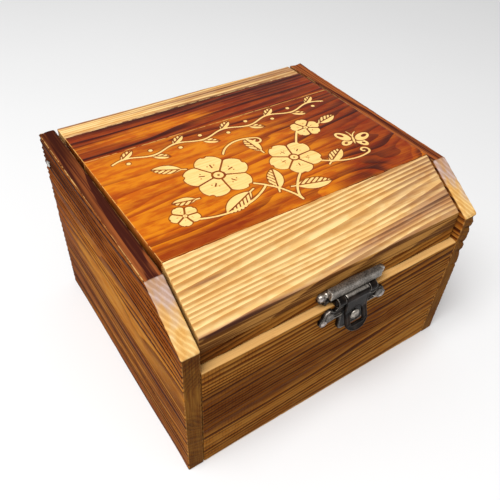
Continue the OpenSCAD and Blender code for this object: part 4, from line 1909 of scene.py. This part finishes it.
    def tongue(self) -> Form:
        """The tongue with its rim, which ends below the barrel, and the barrel's middle knuckle."""

        def face(z: Array) -> Array:
            """Depth of the face at each height: even down to the bend, and flaring out below it."""
            return self.tongue_face - self.flare * np.maximum(self.bend - z, 0.0)

        plain = plate(self.tongue_outline, face, self.tongue_thick, 0.35)
        knuckle = drum((self.x, *self.barrel), 0, self.tongue_half, self.knuckle, 0.25)
        hole = drum((self.x, *self.barrel), 0, 4.0 * self.tongue_half, self.tongue_bore)
        raised = plate(rim(self.tongue_outline, *self.TONGUE_RIM), lambda z: face(z) - 0.12, 0.8, 0.25)
        below = block((self.x, self.tongue_face, self.barrel[1] - 13.4), (9.0, 9.0, 11.4))
        trimmed = Form(lambda p: np.maximum(raised.distance(p), below.distance(p)))
        return plain.melt(knuckle, 0.5) | trimmed - hole

    def stud_form(self) -> Form:
        """The stud: a shank, a neck and a round head."""
        height, radius, tip = self.stud
        half = self.leaf_thick / 2.0
        shank = drum((self.x, self.lower_face + half, height), 1, half, radius * 0.6)
        neck = drum((self.x, (self.lower_face + tip) / 2.0 + 0.5, height), 1, 0.9, radius * 0.8, 0.1)

        dome = self.stud_dome

        def head(p: Array) -> Array:
            """Distance to a ball that is flattened from front to rear."""
            off = (p - np.array([self.x, tip + dome, height])) / np.array([radius, dome, radius])
            return (np.linalg.norm(off, axis=1) - 1.0) * dome

        return (shank | neck).melt(Form(head), 0.4)

    def nail(self, x: float, face: float, height: float) -> Form:
        """A nail with a domed head, driven through a face.

        Args:
            x: its place across.
            face: depth of the face.
            height: its height.

        Returns:
            The nail: a shank, and a ball less what lies behind the face.
        """

        def dome(p: Array) -> Array:
            """Distance to the part of a ball that stands out of the face."""
            ball = np.linalg.norm(p - np.array([x, face + self.nail_sink, height]), axis=1) - self.nail_ball
            return np.maximum(ball, p[:, 1] - face)

        return drum((x, face + self.nail_half, height), 1, self.nail_half, self.nail_shank) | Form(dome)

    def build(self, finishes: Finishes) -> None:
        """Builds and dresses the hasp."""
        metal, nail_metal = finishes.hasp_metal.build(), finishes.nail_metal.build()

        def roll_top_highlight(p: Array) -> Array:
            """Painted highlight: the upper part of the roll takes more of the rubbed colour, as where light
            falls on its top.
            """
            return 0.38 * smooth_step(self.roll[1] - 1.6, self.roll[1] - 0.6, p[:, 2])

        def lower_polish(p: Array) -> Array:
            """The scrolls are rubbed more."""
            return 0.3 * smooth_step(0.4, 0.65, self.lower_face - p[:, 1])

        def tongue_highlight_and_darkening(p: Array) -> Array:
            """Painted highlight along the top of the middle knuckle; the rest of the tongue takes less of
            the rubbed colour, so it is darker.
            """
            return 0.8 * smooth_step(1.3, 2.0, p[:, 2] - self.barrel[1]) - 0.28

        # Each piece's name and form, its reach to each side, its depths and heights, its cells, its polish
        # and painted highlight, and its body
        for name, form, reach, (front, low), (rear, high), cell, polish_and_highlight, body in (
                ("upper_leaf", self.upper_leaf(), self.reach, (-70.2, 66.5), (-63.0, 76.0), CELL,
                 roll_top_highlight, "lid"),
                ("lower_leaf", self.lower_leaf(), self.reach, (-69.2, 50.5), (-66.3, 66.5), CELL,
                 lower_polish, "case"),
                ("tongue", self.tongue(), 6.5, (-73.9, 51.0), (-65.0, 72.0), CELL, tongue_highlight_and_darkening, "tongue"),
                ("stud", self.stud_form(), 3.0, (-71.2, 55.5), (-66.3, 61.5), FINE_CELL, 0.35, "case")):
            span = (self.x - reach, front, low), (self.x + reach, rear, high)
            piece = form.build(f"cast_{name}", *span, cell, polish_and_highlight)
            fit(piece, f"hasp_{name}", body, metal)
        coat_node("hasp_barrel_pin", metal)
        for name, face, height, body in (("upper", self.upper_face, self.upper_nail, "lid"),
                                         ("lower", self.lower_face, self.lower_nail, "case")):
            left, right = (self.nail(self.x + side * self.nail_x, face, height) for side in (-1, 1))
            span = ((self.x - self.reach, face - 1.2, height - 2.0),
                    (self.x + self.reach, face + 6.5, height + 2.0))
            nails = (left | right).build(f"domed_{name}_nails", *span, NAIL_CELL, 0.25)
            fit(nails, f"hasp_{name}_nails", body, nail_metal)


# ------------------------------------------------------------------------------------------------
# The studio


@dataclass(frozen=True)
class Softbox:
    """A square lamp with an even white face.

    Args:
        name: name of the lamp.
        place: its place in metres.
        size: width of its face.
        power: its power in watts.
    """

    name: str
    place: Point
    size: float
    power: float

    def build(self, target: Point) -> None:
        """Hangs the lamp so that it faces the target."""
        lamp = bpy.data.lights.new(self.name, "AREA")
        lamp.shape, lamp.size, lamp.energy = "SQUARE", self.size, self.power
        obj = bpy.data.objects.new(self.name, lamp)
        bpy.context.scene.collection.objects.link(obj)
        back = np.array(self.place) - np.array(target)
        obj.location = self.place
        obj.rotation_euler = (math.acos(back[2] / np.linalg.norm(back)), 0.0,
                              math.atan2(back[1], back[0]) + math.pi / 2.0)


@dataclass(frozen=True)
class Studio:
    """The camera, the lamps and the floor.

    Args:
        camera_place: the camera's place in metres.
        camera_turn: its turn in degrees.
        lens: its focal length in mm, on a sensor 36 mm wide.
        floor_radius: radius of the floor in metres.
        sky: strength of the even light from all round.
        target: the place that the lamps face, in metres.
        lamps: the softboxes.
    """

    camera_place: Point = (-0.12165, -0.1662, 0.2352)
    camera_turn: Point = (46.52, -2.37, -33.73)
    lens: float = 40.12
    floor_radius: float = 3.0
    sky: float = 0.46
    target: Point = (0.0, 0.0, 0.05)
    lamps: tuple[Softbox, ...] = (
        Softbox("key", (-0.5, -0.2, 1.12), 0.7, 17.5),
    )

    def build(self) -> None:
        """Sets the studio up round the box."""
        scene = bpy.context.scene
        scene.view_settings.view_transform = "Standard"
        data = bpy.data.cameras.new("camera")
        data.lens, data.sensor_width = self.lens, 36.0
        data.clip_start = 0.01
        camera = bpy.data.objects.new("camera", data)
        camera.location = self.camera_place
        camera.rotation_euler = [math.radians(turn) for turn in self.camera_turn]
        scene.collection.objects.link(camera)
        scene.camera = camera
        world = bpy.data.worlds.new("soft_sky")
        scene.world = world
        world.use_nodes = True
        background = world.node_tree.nodes["Background"]
        background.inputs["Color"].default_value = (1.0, 1.0, 1.0, 1.0)
        background.inputs["Strength"].default_value = self.sky
        for lamp in self.lamps:
            lamp.build(self.target)
        self.lay_floor()

    def lay_floor(self) -> None:
        """Lays a round floor: triangles from each side of its rim to its middle."""
        angle = np.linspace(0.0, math.tau, FLOOR_SIDES + 1)[:-1]
        ring = np.stack([np.cos(angle), np.sin(angle), 0.0 * angle], axis=1) * self.floor_radius / MM
        side = np.arange(FLOOR_SIDES)
        faces = np.stack([side, (side + 1) % FLOOR_SIDES, np.full(FLOOR_SIDES, FLOOR_SIDES)], axis=1)
        floor = add_mesh("floor", np.vstack([ring, np.zeros((1, 3))]), faces, {})
        floor.data.materials.append(PaleFloor().build())
        floor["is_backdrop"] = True


def corners() -> list[list[float]]:
    """The lowest and highest corner of all that is shown, as plain lists."""
    return [list(corner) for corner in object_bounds()]


def main() -> None:
    """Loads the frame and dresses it."""
    logging.basicConfig(level=logging.INFO, format="%(message)s")
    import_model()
    Studio().build()
    finishes = Finishes()
    Case().build(finishes)
    Lid().build(finishes)
    Hasp().build(finishes)
    bpy.context.view_layer.update()


if __name__ == "__main__":
    main()
